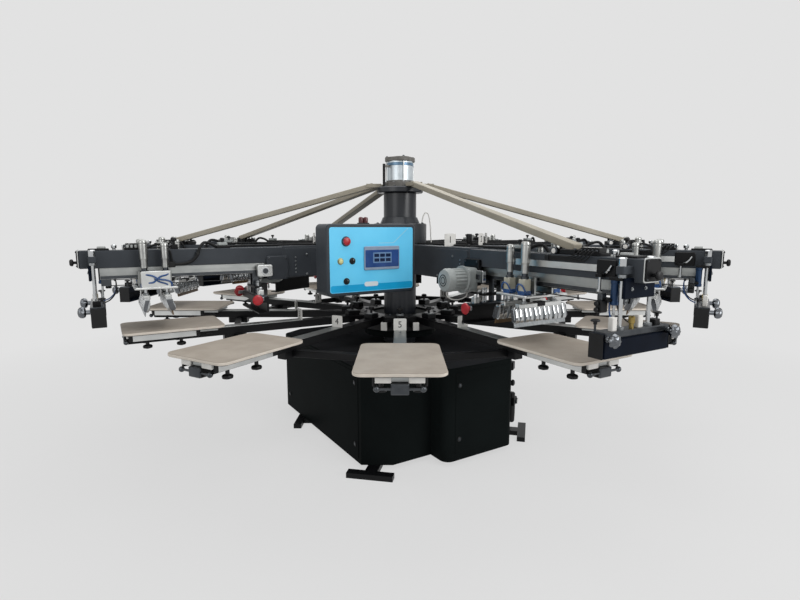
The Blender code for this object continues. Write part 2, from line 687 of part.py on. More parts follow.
def print_arm():
    """One arm with its root, rail, drive, valve box, hand knob and screen clamps."""
    arm = box((HUB_RADIUS - WELD * 8, ARM_REACH), span(0, ARM_WIDTH), (ARM_BOTTOM, ARM_TOP))
    root = box((HUB_RADIUS - WELD * 8, ROOT_REACH), span(0, ROOT_WIDTH),
               (ARM_BOTTOM - ROOT_DROP, ARM_TOP + ROOT_RISE))
    rail = box((ROOT_REACH - WELD, ARM_REACH - RAIL_END_INSET), span(0, RAIL_WIDTH),
               (RAIL_BOTTOM, ARM_BOTTOM + WELD))
    valve_start = STRUT_REACH + STRUT_FOOT_LENGTH / 2 + VALVE_BOX_AFTER_FOOT
    valves = box((valve_start, valve_start + VALVE_BOX_LENGTH), span(0, VALVE_BOX_WIDTH),
                 (ARM_TOP - WELD, ARM_TOP + VALVE_BOX_HEIGHT))
    knob_height = ARM_BOTTOM + ARM_HEIGHT / 3
    knob = bar(HAND_KNOB_RADIUS, (ARM_REACH - WELD, 0.0, knob_height),
               (ARM_REACH + HAND_KNOB_LENGTH, 0.0, knob_height), COARSE)
    return welded([arm, root, rail, valves, knob, *head_drive(), *front_clamp(), *rear_clamp()])


def panel_arm():
    """A beam from the hub to the back of the control panel, its end cut along the panel."""
    facing = turn(PANEL_AZIMUTH) @ Vector((1.0, 0.0, 0.0))
    along = turn(PANEL_AZIMUTH) @ Vector((0.0, 1.0, 0.0))
    back = Vector((PANEL_X, PANEL_Y, PANEL_MIDDLE)) - facing * (PANEL_DEPTH + GAP)
    way = Vector((back.x, back.y, 0.0)).normalized()
    across = Vector((-way.y, way.x, 0.0))
    start = way * (HUB_RADIUS - WELD * 8) + Vector((0.0, 0.0, PANEL_MIDDLE))
    start_ring = []
    end_ring = []
    for side, rise in ((-1, -1), (1, -1), (1, 1), (-1, 1)):
        lift = Vector((0.0, 0.0, rise * PANEL_ARM_HEIGHT / 2))
        start_ring.append(start + across * side * PANEL_ARM_WIDTH / 2 + lift)
        end_ring.append(back + along * side * PANEL_ARM_WIDTH / 2 / across.dot(along) + lift)
    return beam(start_ring, end_ring)


def print_spider_mesh():
    """The upper hub with its ten print arms and the panel's arm."""
    bore = COLUMN_RADIUS + GAP
    bottom = ARM_BOTTOM - HUB_BELOW_ARMS
    shoulder = ARM_TOP + HUB_ABOVE_ARMS
    hub = turned([(bore, bottom), (HUB_RADIUS, bottom), (HUB_RADIUS, shoulder), (HUB_CONE_FOOT, shoulder),
                  (HUB_CONE_TOP, shoulder + HUB_CONE_HEIGHT), (bore, shoulder + HUB_CONE_HEIGHT)], FINE)
    arm = print_arm()
    arms = [moved(arm.copy(), turn(azimuth)) for azimuth in HEAD_AZIMUTHS]
    return welded([hub, *arms, panel_arm()])


def carriage_mesh():
    """A plate under the rail with cheeks that ride on it and four air cylinders on posts."""
    slide_inner = RAIL_WIDTH / 2 + RUNNING_GAP
    cheek_inner = ARM_WIDTH / 2 + RUNNING_GAP * 10
    cheek_outer = cheek_inner + CHEEK_THICKNESS
    meshes = [box(span(0, CARRIAGE_LENGTH), span(0, CARRIAGE_WIDTH), (PLATE_BOTTOM, PLATE_TOP))]
    bores = []
    for side in (-1, 1):
        cheek = tuple(sorted((side * cheek_inner, side * cheek_outer)))
        slide = tuple(sorted((side * slide_inner, side * (cheek_inner + WELD))))
        slide_bottom = RAIL_BOTTOM + WELD
        meshes.append(box(span(0, CHEEK_LENGTH), cheek, (PLATE_TOP - WELD, PLATE_TOP + CHEEK_HEIGHT)))
        meshes.append(box(span(0, SLIDE_BLOCK_LENGTH), slide,
                          (slide_bottom, slide_bottom + SLIDE_BLOCK_HEIGHT)))
        for place, radius in ((SQUEEGEE_AT, SQUEEGEE_CYLINDER_RADIUS), (FLOOD_AT, FLOOD_CYLINDER_RADIUS)):
            centre = (place, side * BAR_ROD_SPREAD / 2)
            meshes.append(box(span(centre[0], POST_SIDE), span(centre[1], POST_SIDE),
                              (PLATE_TOP - WELD, CYLINDER_BOTTOM + WELD)))
            meshes.append(post(radius, CYLINDER_BOTTOM, CYLINDER_TOP, COARSE, centre))
            bores.append(post(BAR_ROD_RADIUS + RUNNING_GAP, PLATE_BOTTOM - WELD,
                              CYLINDER_TOP - CYLINDER_END_WALL, ROD_SIDES, centre))
    return cut(welded(meshes), bores)


def print_bar_mesh(holder_width, blade_width):
    """A blade in its holder, hung from a yoke on two rods."""
    rod_top = CYLINDER_TOP - BAR_ROD_TOP_INSET
    meshes = [box(span(0, YOKE_WIDTH), span(0, YOKE_LENGTH), (YOKE_BOTTOM, YOKE_TOP)),
              box(span(0, holder_width), span(0, BAR_LENGTH), (HOLDER_BOTTOM, YOKE_BOTTOM + WELD)),
              box(span(0, blade_width), span(0, BAR_LENGTH - 2 * WELD), (BLADE_BOTTOM, HOLDER_BOTTOM + WELD))]
    for side in (-1, 1):
        meshes.append(post(BAR_ROD_RADIUS, YOKE_TOP - WELD, rod_top, ROD_SIDES,
                           (0.0, side * BAR_ROD_SPREAD / 2)))
    return welded(meshes)


# Crown of struts

def strut(azimuth):
    """A flat beam from a bracket on the crown down to a foot on a print arm."""
    foot_bottom = ARM_TOP + GAP
    low = foot_bottom + STRUT_FOOT_HEIGHT / 2
    half = STRUT_WIDTH / 2
    upper_top = CROWN_TOP + STRUT_RISE
    ends = []
    for reach, bottom in ((STRUT_ROOT, upper_top - STRUT_DEPTH + 2 * WELD), (STRUT_REACH, low)):
        top = bottom + STRUT_DEPTH - 2 * WELD
        ends.append([(reach, -half, bottom), (reach, half, bottom), (reach, half, top), (reach, -half, top)])
    foot = box(span(STRUT_REACH, STRUT_FOOT_LENGTH), span(0, STRUT_WIDTH + 4 * WELD),
               (foot_bottom, foot_bottom + STRUT_FOOT_HEIGHT))
    bracket = box((STRUT_ROOT + WELD, CROWN_RADIUS - WELD), span(0, STRUT_WIDTH - 4 * WELD),
                  (CROWN_TOP - WELD, CROWN_TOP + STRUT_RISE / 2))
    return [moved(mesh, turn(azimuth)) for mesh in (beam(*ends), foot, bracket)]


def strut_crown_mesh():
    """The flange on the column's top with the struts that hold up the arms."""
    rod_hole = LIFT_ROD_RADIUS + RUNNING_GAP * 10
    flange = turned([(rod_hole, CROWN_BOTTOM), (CROWN_RADIUS, CROWN_BOTTOM), (CROWN_RADIUS, CROWN_TOP),
                     (rod_hole, CROWN_TOP)], FINE)
    struts = [mesh for azimuth in STRUT_AZIMUTHS for mesh in strut(azimuth)]
    return welded([flange, *struts])


# Control panel, in a frame whose z runs out of its face and whose y runs up

def panel_frame():
    """The fascia's middle, with x across the panel, y up and z out of it."""
    upright = turn(PANEL_AZIMUTH) @ Matrix(((0, 0, 1, 0), (1, 0, 0, 0), (0, 1, 0, 0), (0, 0, 0, 1)))
    return Matrix.Translation((PANEL_X, PANEL_Y, PANEL_MIDDLE)) @ upright


def panel_case_mesh():
    """A tray with round corners, its front lip round the fascia."""
    outside = prism(rounded(span(0, PANEL_WIDTH), span(0, PANEL_HEIGHT), PANEL_CORNER), -PANEL_DEPTH, 0.0)
    seat = -FASCIA_THICKNESS - GAP
    fascia = prism(rounded(span(0, FASCIA_WIDTH + 2 * GAP), span(0, FASCIA_HEIGHT + 2 * GAP),
                           PANEL_CORNER / 2), seat, PANEL_WALL)
    hollow = prism(rounded(span(0, FASCIA_WIDTH - 2 * FASCIA_LIP), span(0, FASCIA_HEIGHT - 2 * FASCIA_LIP),
                           PANEL_CORNER / 2), PANEL_WALL - PANEL_DEPTH, PANEL_WALL)
    return cut(outside, [fascia, hollow])


def panel_fascia_mesh():
    """The front plate with holes for the touch screen, buttons and selectors.

    The selectors turn, so the flats of their holes stand clear of the corners of their stems.
    """
    plate = prism(rounded(span(0, FASCIA_WIDTH), span(0, FASCIA_HEIGHT), PANEL_CORNER / 2),
                  -FASCIA_THICKNESS, 0.0)
    through = (-2 * FASCIA_THICKNESS, FASCIA_THICKNESS)
    window = box(span(SCREEN_X, SCREEN_WIDTH - 2 * SCREEN_BEZEL + 2 * GAP),
                 span(SCREEN_Z, SCREEN_HEIGHT - 2 * SCREEN_BEZEL + 2 * GAP), through)
    turning = (SELECTOR_STEM_RADIUS + GAP) / math.cos(math.pi / COARSE)
    holes = [post(radius, *through, COARSE, centre) for centre, radius in
             (((BUTTON_COLUMN_X, ESTOP_Z), ESTOP_STEM_RADIUS + GAP),
              ((LEFT_BUTTON_X, START_Z), START_STEM_RADIUS + GAP),
              ((SELECTOR_X, START_Z), turning), ((BUTTON_COLUMN_X, POWER_Z), turning))]
    return cut(plate, [window, *holes])


def touch_screen_mesh():
    """The operator's screen: a bezel on the fascia and a body through its window."""
    bezel = box(span(0, SCREEN_WIDTH), span(0, SCREEN_HEIGHT), (GAP, SCREEN_BEZEL))
    body = box(span(0, SCREEN_WIDTH - 2 * SCREEN_BEZEL), span(0, SCREEN_HEIGHT - 2 * SCREEN_BEZEL),
               (-SCREEN_BODY_DEPTH, GAP + WELD))
    return welded([bezel, body])


def button_mesh(head_radius, head_height, stem_radius, travel):
    """A push button's head, standing off the fascia by its travel, on its stem."""
    bottom = travel + GAP
    dome = head_radius * 0.8
    return turned([(0.0, -STEM_LENGTH), (stem_radius, -STEM_LENGTH), (stem_radius, bottom),
                   (head_radius, bottom), (head_radius, bottom + head_height * 0.6),
                   (dome, bottom + head_height), (0.0, bottom + head_height)], COARSE)


def selector_mesh():
    """A turning knob with a grip across it."""
    knob = turned([(0.0, -STEM_LENGTH), (SELECTOR_STEM_RADIUS, -STEM_LENGTH), (SELECTOR_STEM_RADIUS, GAP),
                   (SELECTOR_RADIUS, GAP), (SELECTOR_RADIUS, SELECTOR_HEAD), (0.0, SELECTOR_HEAD)], COARSE)
    grip = box(span(0, SELECTOR_GRIP_WIDTH), span(0, 2 * SELECTOR_RADIUS - 2 * WELD),
               (SELECTOR_HEAD - WELD, SELECTOR_HEAD + SELECTOR_GRIP_RISE))
    return welded([knob, grip])


def beacon_mesh():
    """Two lamp caps on one foot, standing on the panel's top."""
    foot_top = PANEL_HEIGHT / 2 + GAP + BEACON_FOOT
    meshes = [box(span(BEACON_X, BEACON_SPACING + 2 * BEACON_RADIUS), (PANEL_HEIGHT / 2 + GAP, foot_top),
                  span(-PANEL_DEPTH / 2, 2 * BEACON_RADIUS + 2 * WELD))]
    for side in (-1, 1):
        place = (BEACON_X + side * BEACON_SPACING / 2, foot_top - WELD, -PANEL_DEPTH / 2)
        tip = (place[0], foot_top + BEACON_HEIGHT, place[2])
        meshes.append(bar(BEACON_RADIUS, place, tip, COARSE))
    return welded(meshes)


# Assembly

def build_base(paint, skirt_paint, motor_paint):
    base = empty("base", matrix=turn(BASE_AZIMUTH))
    piece("base_frame", base_frame_mesh(), paint, base)
    piece("base_skirt", base_skirt_mesh(), skirt_paint, base)
    piece("index_gearmotor", index_gearmotor_mesh(), motor_paint, base)


def build_column(paint, bright, alloy, khaki):
    piece("column", column_mesh(), paint)
    piece("print_spider", print_spider_mesh(), finish("charcoal_enamel", "34383d", 0.42))
    piece("strut_crown", strut_crown_mesh(), khaki)
    piece("lift_cylinder", lift_cylinder_mesh(), alloy)
    lift = empty("lift")
    piece("lift_rod", lift_rod_mesh(), bright, lift)
    piece("lift_sleeve", lift_sleeve_mesh(), paint, lift)
    return lift


def build_carousel(lift, paint):
    carousel = empty("carousel", lift)
    piece("pallet_spider", pallet_spider_mesh(), paint, carousel)
    board = pallet_mesh()
    pallet_finish = finish("pallet_coating", "a79c8f", 0.6)
    for number in range(1, STATION_COUNT + 1):
        piece(f"pallet_{number:02d}", board, pallet_finish, carousel, turn(station_azimuth(number)))


def build_heads(alloy, bright):
    carriage = carriage_mesh()
    squeegee = print_bar_mesh(SQUEEGEE_HOLDER, SQUEEGEE_BLADE)
    flood = print_bar_mesh(FLOOD_HOLDER, FLOOD_BLADE)
    for number, azimuth in enumerate(HEAD_AZIMUTHS, start=1):
        reach = CARRIAGE_INNER + PARKED_FROM_INNER_END.get(azimuth, CARRIAGE_STROKE)
        head = empty(f"head_{number:02d}", matrix=turn(azimuth))
        rider = piece(f"carriage_{number:02d}", carriage, alloy, head, Matrix.Translation((reach, 0, 0)))
        piece(f"squeegee_{number:02d}", squeegee, bright, rider, Matrix.Translation((SQUEEGEE_AT, 0, 0)))
        piece(f"flood_bar_{number:02d}", flood, bright, rider, Matrix.Translation((FLOOD_AT, 0, 0)))


def build_panel(paint):
    panel = empty("panel", matrix=panel_frame())
    red = finish("red_plastic", "b3262b", 0.35)
    black = finish("black_plastic", "17181a", 0.4)
    piece("panel_case", panel_case_mesh(), paint, panel)
    piece("panel_fascia", panel_fascia_mesh(), finish("sky_blue_film", "62d0f8", 0.35), panel)
    piece("touch_screen", touch_screen_mesh(), finish("screen_grey", "7d8794", 0.3), panel,
          Matrix.Translation((SCREEN_X, SCREEN_Z, 0)))
    piece("beacon_lamp", beacon_mesh(), finish("dark_red_lens", "5a1518", 0.25), panel)
    estop = button_mesh(ESTOP_RADIUS, ESTOP_HEAD, ESTOP_STEM_RADIUS, ESTOP_TRAVEL)
    piece("estop_button", estop, red, panel, Matrix.Translation((BUTTON_COLUMN_X, ESTOP_Z, 0)))
    start = button_mesh(START_RADIUS, START_HEAD, START_STEM_RADIUS, START_TRAVEL)
    piece("start_button", start, finish("yellow_lens", "e6dc7a", 0.3), panel,
          Matrix.Translation((LEFT_BUTTON_X, START_Z, 0)))
    selector = selector_mesh()
    piece("selector_mode", selector, black, panel, Matrix.Translation((SELECTOR_X, START_Z, 0)))
    piece("selector_power", selector, black, panel, Matrix.Translation((BUTTON_COLUMN_X, POWER_Z, 0)))


def build():
    for thing in list(bpy.data.objects):
        bpy.data.objects.remove(thing)
    black_enamel = finish("black_enamel", "1c1d20", 0.35)
    gloss_enamel = finish("gloss_dark_enamel", "26292d", 0.22)
    motor_grey = finish("motor_grey_enamel", "8b9192", 0.5)
    alloy = finish("anodised_aluminium", "c9ccd0", 0.35, 1.0)
    bright = finish("bright_steel", "d9dadc", 0.2, 1.0)
    khaki = finish("khaki_enamel", "b5aa93", 0.5)
    build_base(black_enamel, gloss_enamel, motor_grey)
    lift = build_column(gloss_enamel, bright, alloy, khaki)
    build_carousel(lift, black_enamel)
    build_heads(alloy, bright)
    build_panel(gloss_enamel)


build()
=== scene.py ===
# %% [markdown]
# # Dressing a screen printing carousel
#
# An automatic press prints cloth on twelve pallets that turn and rise under ten print heads. The
# construction is there already, as plain solids that move. This lesson gives it the shapes and finishes
# that the eye sees. Every new piece is a surface worked out with numpy, and every finish is a small
# network of shader nodes.

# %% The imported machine
import json
import math
from dataclasses import dataclass

import bpy
import numpy as np
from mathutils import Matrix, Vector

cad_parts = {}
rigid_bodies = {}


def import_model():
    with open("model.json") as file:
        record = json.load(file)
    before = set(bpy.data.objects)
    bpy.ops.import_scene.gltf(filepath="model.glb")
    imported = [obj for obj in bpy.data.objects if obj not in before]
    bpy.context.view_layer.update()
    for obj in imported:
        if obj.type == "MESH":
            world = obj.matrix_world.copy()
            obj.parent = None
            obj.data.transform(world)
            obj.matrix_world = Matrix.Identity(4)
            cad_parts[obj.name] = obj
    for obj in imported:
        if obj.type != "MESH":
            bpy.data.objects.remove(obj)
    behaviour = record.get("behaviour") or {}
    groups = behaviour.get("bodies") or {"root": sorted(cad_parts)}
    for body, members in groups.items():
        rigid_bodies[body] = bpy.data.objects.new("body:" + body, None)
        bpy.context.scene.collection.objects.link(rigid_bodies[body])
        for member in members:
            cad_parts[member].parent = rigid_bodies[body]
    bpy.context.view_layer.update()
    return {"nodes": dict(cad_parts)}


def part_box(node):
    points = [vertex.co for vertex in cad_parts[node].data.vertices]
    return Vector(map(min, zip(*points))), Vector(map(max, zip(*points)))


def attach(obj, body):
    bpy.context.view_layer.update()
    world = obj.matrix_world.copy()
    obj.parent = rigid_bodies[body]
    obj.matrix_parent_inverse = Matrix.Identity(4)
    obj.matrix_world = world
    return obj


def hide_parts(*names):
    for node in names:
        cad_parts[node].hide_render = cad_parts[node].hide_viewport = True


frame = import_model()

# %% [markdown]
# Heads and stations stand round the axis like hours on a clock. Their azimuths, in degrees from the
# loading side (-Y) towards +X, could be typed in, but they are read from the solids, so that the dress
# follows the machine.

# %% Where heads and stations stand
STEP_DEGREES = 30


def middle_of(node):
    """The middle of a solid's box, as an array."""
    low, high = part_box(node)
    return (np.array(low) + np.array(high)) / 2


def azimuth_of(node):
    """Direction of a solid's middle from the axis, to the nearest step of the clock."""
    x, y, _ = middle_of(node)
    return STEP_DEGREES * round(math.degrees(math.atan2(x, -y)) / STEP_DEGREES)


HEADS = {f"{n:02d}": azimuth_of(f"carriage_{n:02d}") for n in range(1, 11)}
STATIONS = {f"{n:02d}": azimuth_of(f"pallet_{n:02d}") for n in range(1, 13)}
print("heads at", HEADS, "stations at", STATIONS)

# %% [markdown]
# The camera stands on the loading side, a little above the arms, and looks down by eight degrees. Its
# place was found by fitting the circle of pallets to the photograph. A lens is a focal length over a
# sensor's width, so a focal length in pixels becomes millimetres by the picture's width.

# %% Camera
PICTURE_WIDTH_PX = 800
FOCAL_PX = 512.3
SENSOR_MM = 36.0
CAMERA_PLACE = (0.0, -3.9185, 1.538)
LOOKING_DOWN_DEGREES = 8.04

lens = bpy.data.cameras.new("camera")
lens.sensor_width = SENSOR_MM
lens.lens = FOCAL_PX / PICTURE_WIDTH_PX * SENSOR_MM
camera = bpy.data.objects.new("camera", lens)
camera.location = CAMERA_PLACE
camera.rotation_euler = (math.radians(90 - LOOKING_DOWN_DEGREES), 0, 0)
bpy.context.scene.collection.objects.link(camera)
bpy.context.scene.camera = camera
bpy.context.scene.view_settings.view_transform = "Standard"
print("lens", round(lens.lens, 2), "mm")

# %% [markdown]
# A finish is a shader network. Nodes could be added one by one with a line for each setting and link; one
# small function that takes a node's kind, its inputs and its settings keeps each finish short. Colours
# are written as the hex values that a screen shows and turned to the linear values that light adds up in.

# %% Colour and node helpers
def linear(code):
    """sRGB hex to linear RGBA: a straight line below 0.04045, a power of 2.4 above."""
    channel = np.array([int(code[i:i + 2], 16) for i in (0, 2, 4)]) / 255
    bent = np.where(channel <= 0.04045, channel / 12.92, ((channel + 0.055) / 1.055) ** 2.4)
    return (*bent, 1.0)


def add(tree, kind, inputs=None, **settings):
    """One node: settings are its properties, inputs are numbers or the sockets that feed it."""
    made = tree.nodes.new(kind)
    for name, value in settings.items():
        setattr(made, name, value)
    for name, value in (inputs or {}).items():
        if isinstance(value, bpy.types.NodeSocket):
            tree.links.new(value, made.inputs[name])
        else:
            made.inputs[name].default_value = value
    return made


print("white is", linear("ffffff")[:3])

# %% [markdown]
# Most surfaces here are one thing: a coat or a metal whose tone drifts a little in soft patches, with a
# fine grain that changes its gloss. So one function lays patches and grain at sizes in millimetres, and
# each finish below is a call of it with what that material really has. Grain along a machining direction
# is the same noise drawn out along the piece's own axes, which are stored on the mesh as an attribute,
# because the heads point ten ways. Dark paint in a white room looks grey by its mirror alone, so how
# strongly a coat mirrors is also said.

# %% A mottled finish
MM = 0.001
# A noise's values crowd round one half, so the two tones are spread over the middle of its range.
PATCH_FROM, PATCH_TO, PATCH_DETAIL = 0.3, 0.7, 4.0
GRAIN_DETAIL, GRAIN_BUMP = 3.0, 0.6


def mottled(name, light, dark, patch, grain, relief, roughness, metallic=0.0, drawn_out=None, mirror=0.5):
    """Colour between two tones by a noise of patch mm; gloss and bump by a noise of grain mm.

    relief is the grain's height in mm, roughness its two ends, drawn_out the grain's scale on own axes
    and mirror the strength of the coat's own reflection.
    """
    material = bpy.data.materials.new(name)
    material.use_nodes = True
    tree = material.node_tree
    shader = tree.nodes["Principled BSDF"]
    shader.inputs["Metallic"].default_value = metallic
    shader.inputs["Specular IOR Level"].default_value = mirror
    place = add(tree, "ShaderNodeTexCoord").outputs["Object"]
    along = place
    if drawn_out:
        own = add(tree, "ShaderNodeAttribute", attribute_name="own_place").outputs["Vector"]
        along = add(tree, "ShaderNodeMapping", {"Vector": own, "Scale": drawn_out}).outputs["Vector"]
    patches = add(tree, "ShaderNodeTexNoise",
                  {"Vector": place, "Scale": 1 / (patch * MM), "Detail": PATCH_DETAIL})
    share = add(tree, "ShaderNodeMapRange",
                {"Value": patches.outputs["Fac"], "From Min": PATCH_FROM, "From Max": PATCH_TO})
    fine = add(tree, "ShaderNodeTexNoise",
               {"Vector": along, "Scale": 1 / (grain * MM), "Detail": GRAIN_DETAIL})
    tone = add(tree, "ShaderNodeMixRGB",
               {"Fac": share.outputs["Result"], "Color1": linear(dark), "Color2": linear(light)})
    gloss = add(tree, "ShaderNodeMapRange",
                {"Value": fine.outputs["Fac"], "To Min": roughness[0], "To Max": roughness[1]})
    bump = add(tree, "ShaderNodeBump",
               {"Height": fine.outputs["Fac"], "Distance": relief * MM, "Strength": GRAIN_BUMP})
    tree.links.new(tone.outputs["Color"], shader.inputs["Base Color"])
    tree.links.new(gloss.outputs["Result"], shader.inputs["Roughness"])
    tree.links.new(bump.outputs["Normal"], shader.inputs["Normal"])
    return material


print("patches and grain are given in millimetres, so 5 mm grain has scale", 1 / (5 * MM))

# %% [markdown]
# Paints first. Powder coat is sprayed dry and melted, which leaves a faint orange peel a few millimetres
# wide; enamel flows out smoother and shines more. The grain is drawn a little coarse, so that it shows
# from across a room.

# %% Paints
# Blue-black coat with a soft sheen: the arms' faces stay dark, their eased edges shine.
charcoal = mottled("charcoal_powder_coat", "41454a", "373b40", 240, 5, 0.10, (0.40, 0.54), mirror=0.16)
# Deep black with a faint sheen: the base's sheets read as one dark mass.
gloss_black = mottled("gloss_black_enamel", "181c1c", "141717", 420, 9, 0.05, (0.36, 0.48), mirror=0.006)
# Smoother and shinier black: long upright highlights on the column.
column_black = mottled("polished_black_enamel", "20242a", "191c21", 300, 9, 0.02, (0.26, 0.36), mirror=0.5)
# Even black with little sheen, for brackets, wheel arms and legs.
satin_black = mottled("satin_black_enamel", "0e0f11", "09090b", 200, 5, 0.08, (0.34, 0.46), mirror=0.20)
# Black with a blue cast, for the screen clamps.
navy = mottled("navy_enamel", "0f1622", "0b101a", 160, 5, 0.08, (0.36, 0.48), mirror=0.04)
# Dull mid blue of a dyed skin, kept with the paints for its colour: the outer clamps' small cylinders.
steel_blue = mottled("blue_anodised_aluminium", "1a3c62", "142f4f", 60, 3, 0.02, (0.30, 0.42), 0.4)
# Warm grey that scatters light: the struts look pale and flat.
khaki = mottled("khaki_enamel", "a29c8e", "8d8779", 260, 6, 0.08, (0.42, 0.56), mirror=0.3)
# Grey with small dents, as cast housings are sprayed.
motor_grey = mottled("grey_hammer_enamel", "a4a9a8", "909594", 60, 4, 0.16, (0.34, 0.48), mirror=0.35)
# Sheet that hardly shines at any angle, for the roof that lies in the shade of the wheel.
matt_black = mottled("matt_black_enamel", "343537", "2b2c2e", 300, 6, 0.10, (0.80, 0.92), mirror=0.0)
# Dark blue-grey with a soft sheen, for the control panel's case.
slate = mottled("slate_powder_coat", "2f353c", "272d33", 200, 5, 0.10, (0.36, 0.50), mirror=0.3)
paints = (charcoal, gloss_black, column_black, satin_black, navy, steel_blue, khaki, motor_grey, matt_black,
          slate)
print("paints", [paint.name for paint in paints])

# %% [markdown]
# Metals. Extruded and anodised aluminium carries faint lines along its length, milled plate across it;
# hard chrome on the rods is nearly a mirror; zinc on the screws is dull. All are fully metallic, and only
# tone and gloss differ.

# %% Metals
# Grey metal with lines along the piece, for rails and holders.
alloy = mottled("extruded_anodised_aluminium", "b0b2b0", "9a9d9c", 120, 3, 0.03, (0.30, 0.44), 1.0,
                (0.03, 1, 1))
# Brighter metal with lines across, for plates and blocks.
milled = mottled("milled_aluminium", "d6d7d5", "c3c5c4", 90, 3, 0.03, (0.30, 0.44), 1.0, (1, 0.05, 1))
# Brushed round barrels, a little warmer than the plates.
barrel = mottled("brushed_aluminium_tube", "b2b3b0", "9c9d9b", 40, 2, 0.03, (0.24, 0.36), 1.0, (1, 1, 0.05))
# Near mirror that shows the dark machine and the pale room in strips.
chrome = mottled("hard_chromed_steel", "c9cbcc", "b6b9bb", 50, 2, 0.01, (0.06, 0.14), 1.0)
# Dull bluish grey, for screws and small fittings.
zinc = mottled("zinc_plated_steel", "9da0a2", "828688", 12, 2, 0.03, (0.28, 0.44), 1.0)
# Dark metal with a soft shine, for clamp bars and valve bodies.
gunmetal = mottled("dark_anodised_aluminium", "55585b", "43464a", 70, 3, 0.03, (0.26, 0.40), 1.0,
                   (0.05, 1, 1))
# Yellow metal, for fittings.
brass = mottled("drawn_brass", "a8935a", "8d7a48", 20, 2, 0.02, (0.24, 0.36), 1.0)
print("metals", [metal.name for metal in (alloy, milled, barrel, chrome, zinc, gunmetal, brass)])

# %% [markdown]
# Plastics, rubber and printed film. Moulded black plastic has a spark-eroded texture; polyurethane hose
# is smooth and strongly coloured; the pallets wear a rubbery coat, smudged by the glue that holds the
# cloth, over a pale board edge.

# %% Plastics, rubber and films
# Black with a fine matt texture that hides the moulding.
black_plastic = mottled("moulded_black_nylon", "101113", "0a0b0c", 40, 2, 0.05, (0.38, 0.52), mirror=0.3)
# Dull black that hardly shines.
rubber = mottled("black_rubber", "141516", "0d0e0f", 30, 3, 0.06, (0.60, 0.78), mirror=0.3)
# Clear shiny red that marks what a hand may turn.
red_plastic = mottled("moulded_red_nylon", "b81f2a", "971720", 30, 2, 0.03, (0.26, 0.38))
# Strong blue with a wet shine.
blue_hose = mottled("blue_polyurethane_tube", "23508a", "1a3f70", 25, 3, 0.02, (0.20, 0.32))
# Plain white, slightly warm, for labels and plastic blocks.
white_plate = mottled("white_laminate", "e4e3df", "d8d6d1", 60, 3, 0.02, (0.30, 0.42))
# Cream plastic of the cylinder posts.
cream = mottled("cream_acetal_block", "bdbaaa", "aba898", 60, 3, 0.03, (0.36, 0.48))
# Flat black: the figures' print, and painted shade in the struts' open ends and under the pallet boards.
flat_black_and_shade = mottled("flat_black_print_and_painted_shade", "141518", "0e0f11", 10, 2, 0.01, (0.40, 0.50), mirror=0.3)
# Honey-coloured blade that lets a little colour show.
amber = mottled("amber_polyurethane_blade", "5c4526", "49371d", 40, 3, 0.03, (0.30, 0.42))
# Warm grey, faintly smudged, without shine.
pallet_coat = mottled("glue_smudged_rubber_coat", "a0978c", "938a7f", 90, 4, 0.08, (0.48, 0.70), mirror=0.3)
# Paler line round each board: partly the board's own edge, partly a painted highlight where light falls on
# its sides.
pallet_edge_and_highlight = mottled("pale_board_edge_and_painted_highlight", "d8cfc3", "cac1b5", 40, 4, 0.06, (0.48, 0.62))
# Printed film: even colour with a satin face, in four tones.
sky_film = mottled("sky_blue_polyester_film", "6cd4fd", "62ccf8", 160, 4, 0.02, (0.26, 0.36), mirror=0.3)
cyan_film = mottled("cyan_polyester_film", "12a6dc", "0f9bd0", 120, 4, 0.02, (0.26, 0.36), mirror=0.3)
pale_film = mottled("pale_blue_polyester_film", "b8d8ea", "aacfe4", 120, 4, 0.02, (0.26, 0.36), mirror=0.3)
white_film = mottled("white_polyester_film", "dfe6ea", "d3dbe0", 120, 4, 0.02, (0.26, 0.36), mirror=0.3)
# Grey plastic round the display.
bezel_grey = mottled("moulded_grey_bezel", "8b9bb0", "7b8ba0", 50, 2, 0.03, (0.32, 0.44))
# Glass over a display, in its three tones: even, dark and nearly a mirror.
screen_blue = mottled("blue_display_glass", "31518f", "284479", 60, 2, 0.005, (0.08, 0.14))
screen_pale = mottled("pale_display_glass", "6f8fb6", "6080a8", 40, 2, 0.005, (0.08, 0.14))
screen_dark = mottled("dark_display_glass", "1c2a48", "15203a", 40, 2, 0.005, (0.08, 0.14))
# Dark clear red and pale clear yellow, for lamps that are off.
red_lens = mottled("dark_red_polycarbonate", "5c1a20", "451216", 20, 2, 0.01, (0.10, 0.18))
yellow_lens = mottled("pale_yellow_polycarbonate", "d8d59c", "c8c483", 20, 2, 0.01, (0.14, 0.22))
print("materials so far", len(bpy.data.materials))

# %% [markdown]
# A shape is a set of points and faces. Every shape here is a skin over rings: a profile repeated along a
# way, joined ring to ring. Primitives could be added and edited by operators, but with arrays the whole
# surface is one sum, and the faces can be turned outwards by the sign of the enclosed volume. Each shape
# remembers its points as they were before it was placed, for grain that follows the piece.

# %% A skin over rings
@dataclass
class Shape:
    """Points, faces of four corners, faces of many corners, and the points before placing."""
    points: np.ndarray
    quads: np.ndarray
    ends: list
    own: np.ndarray


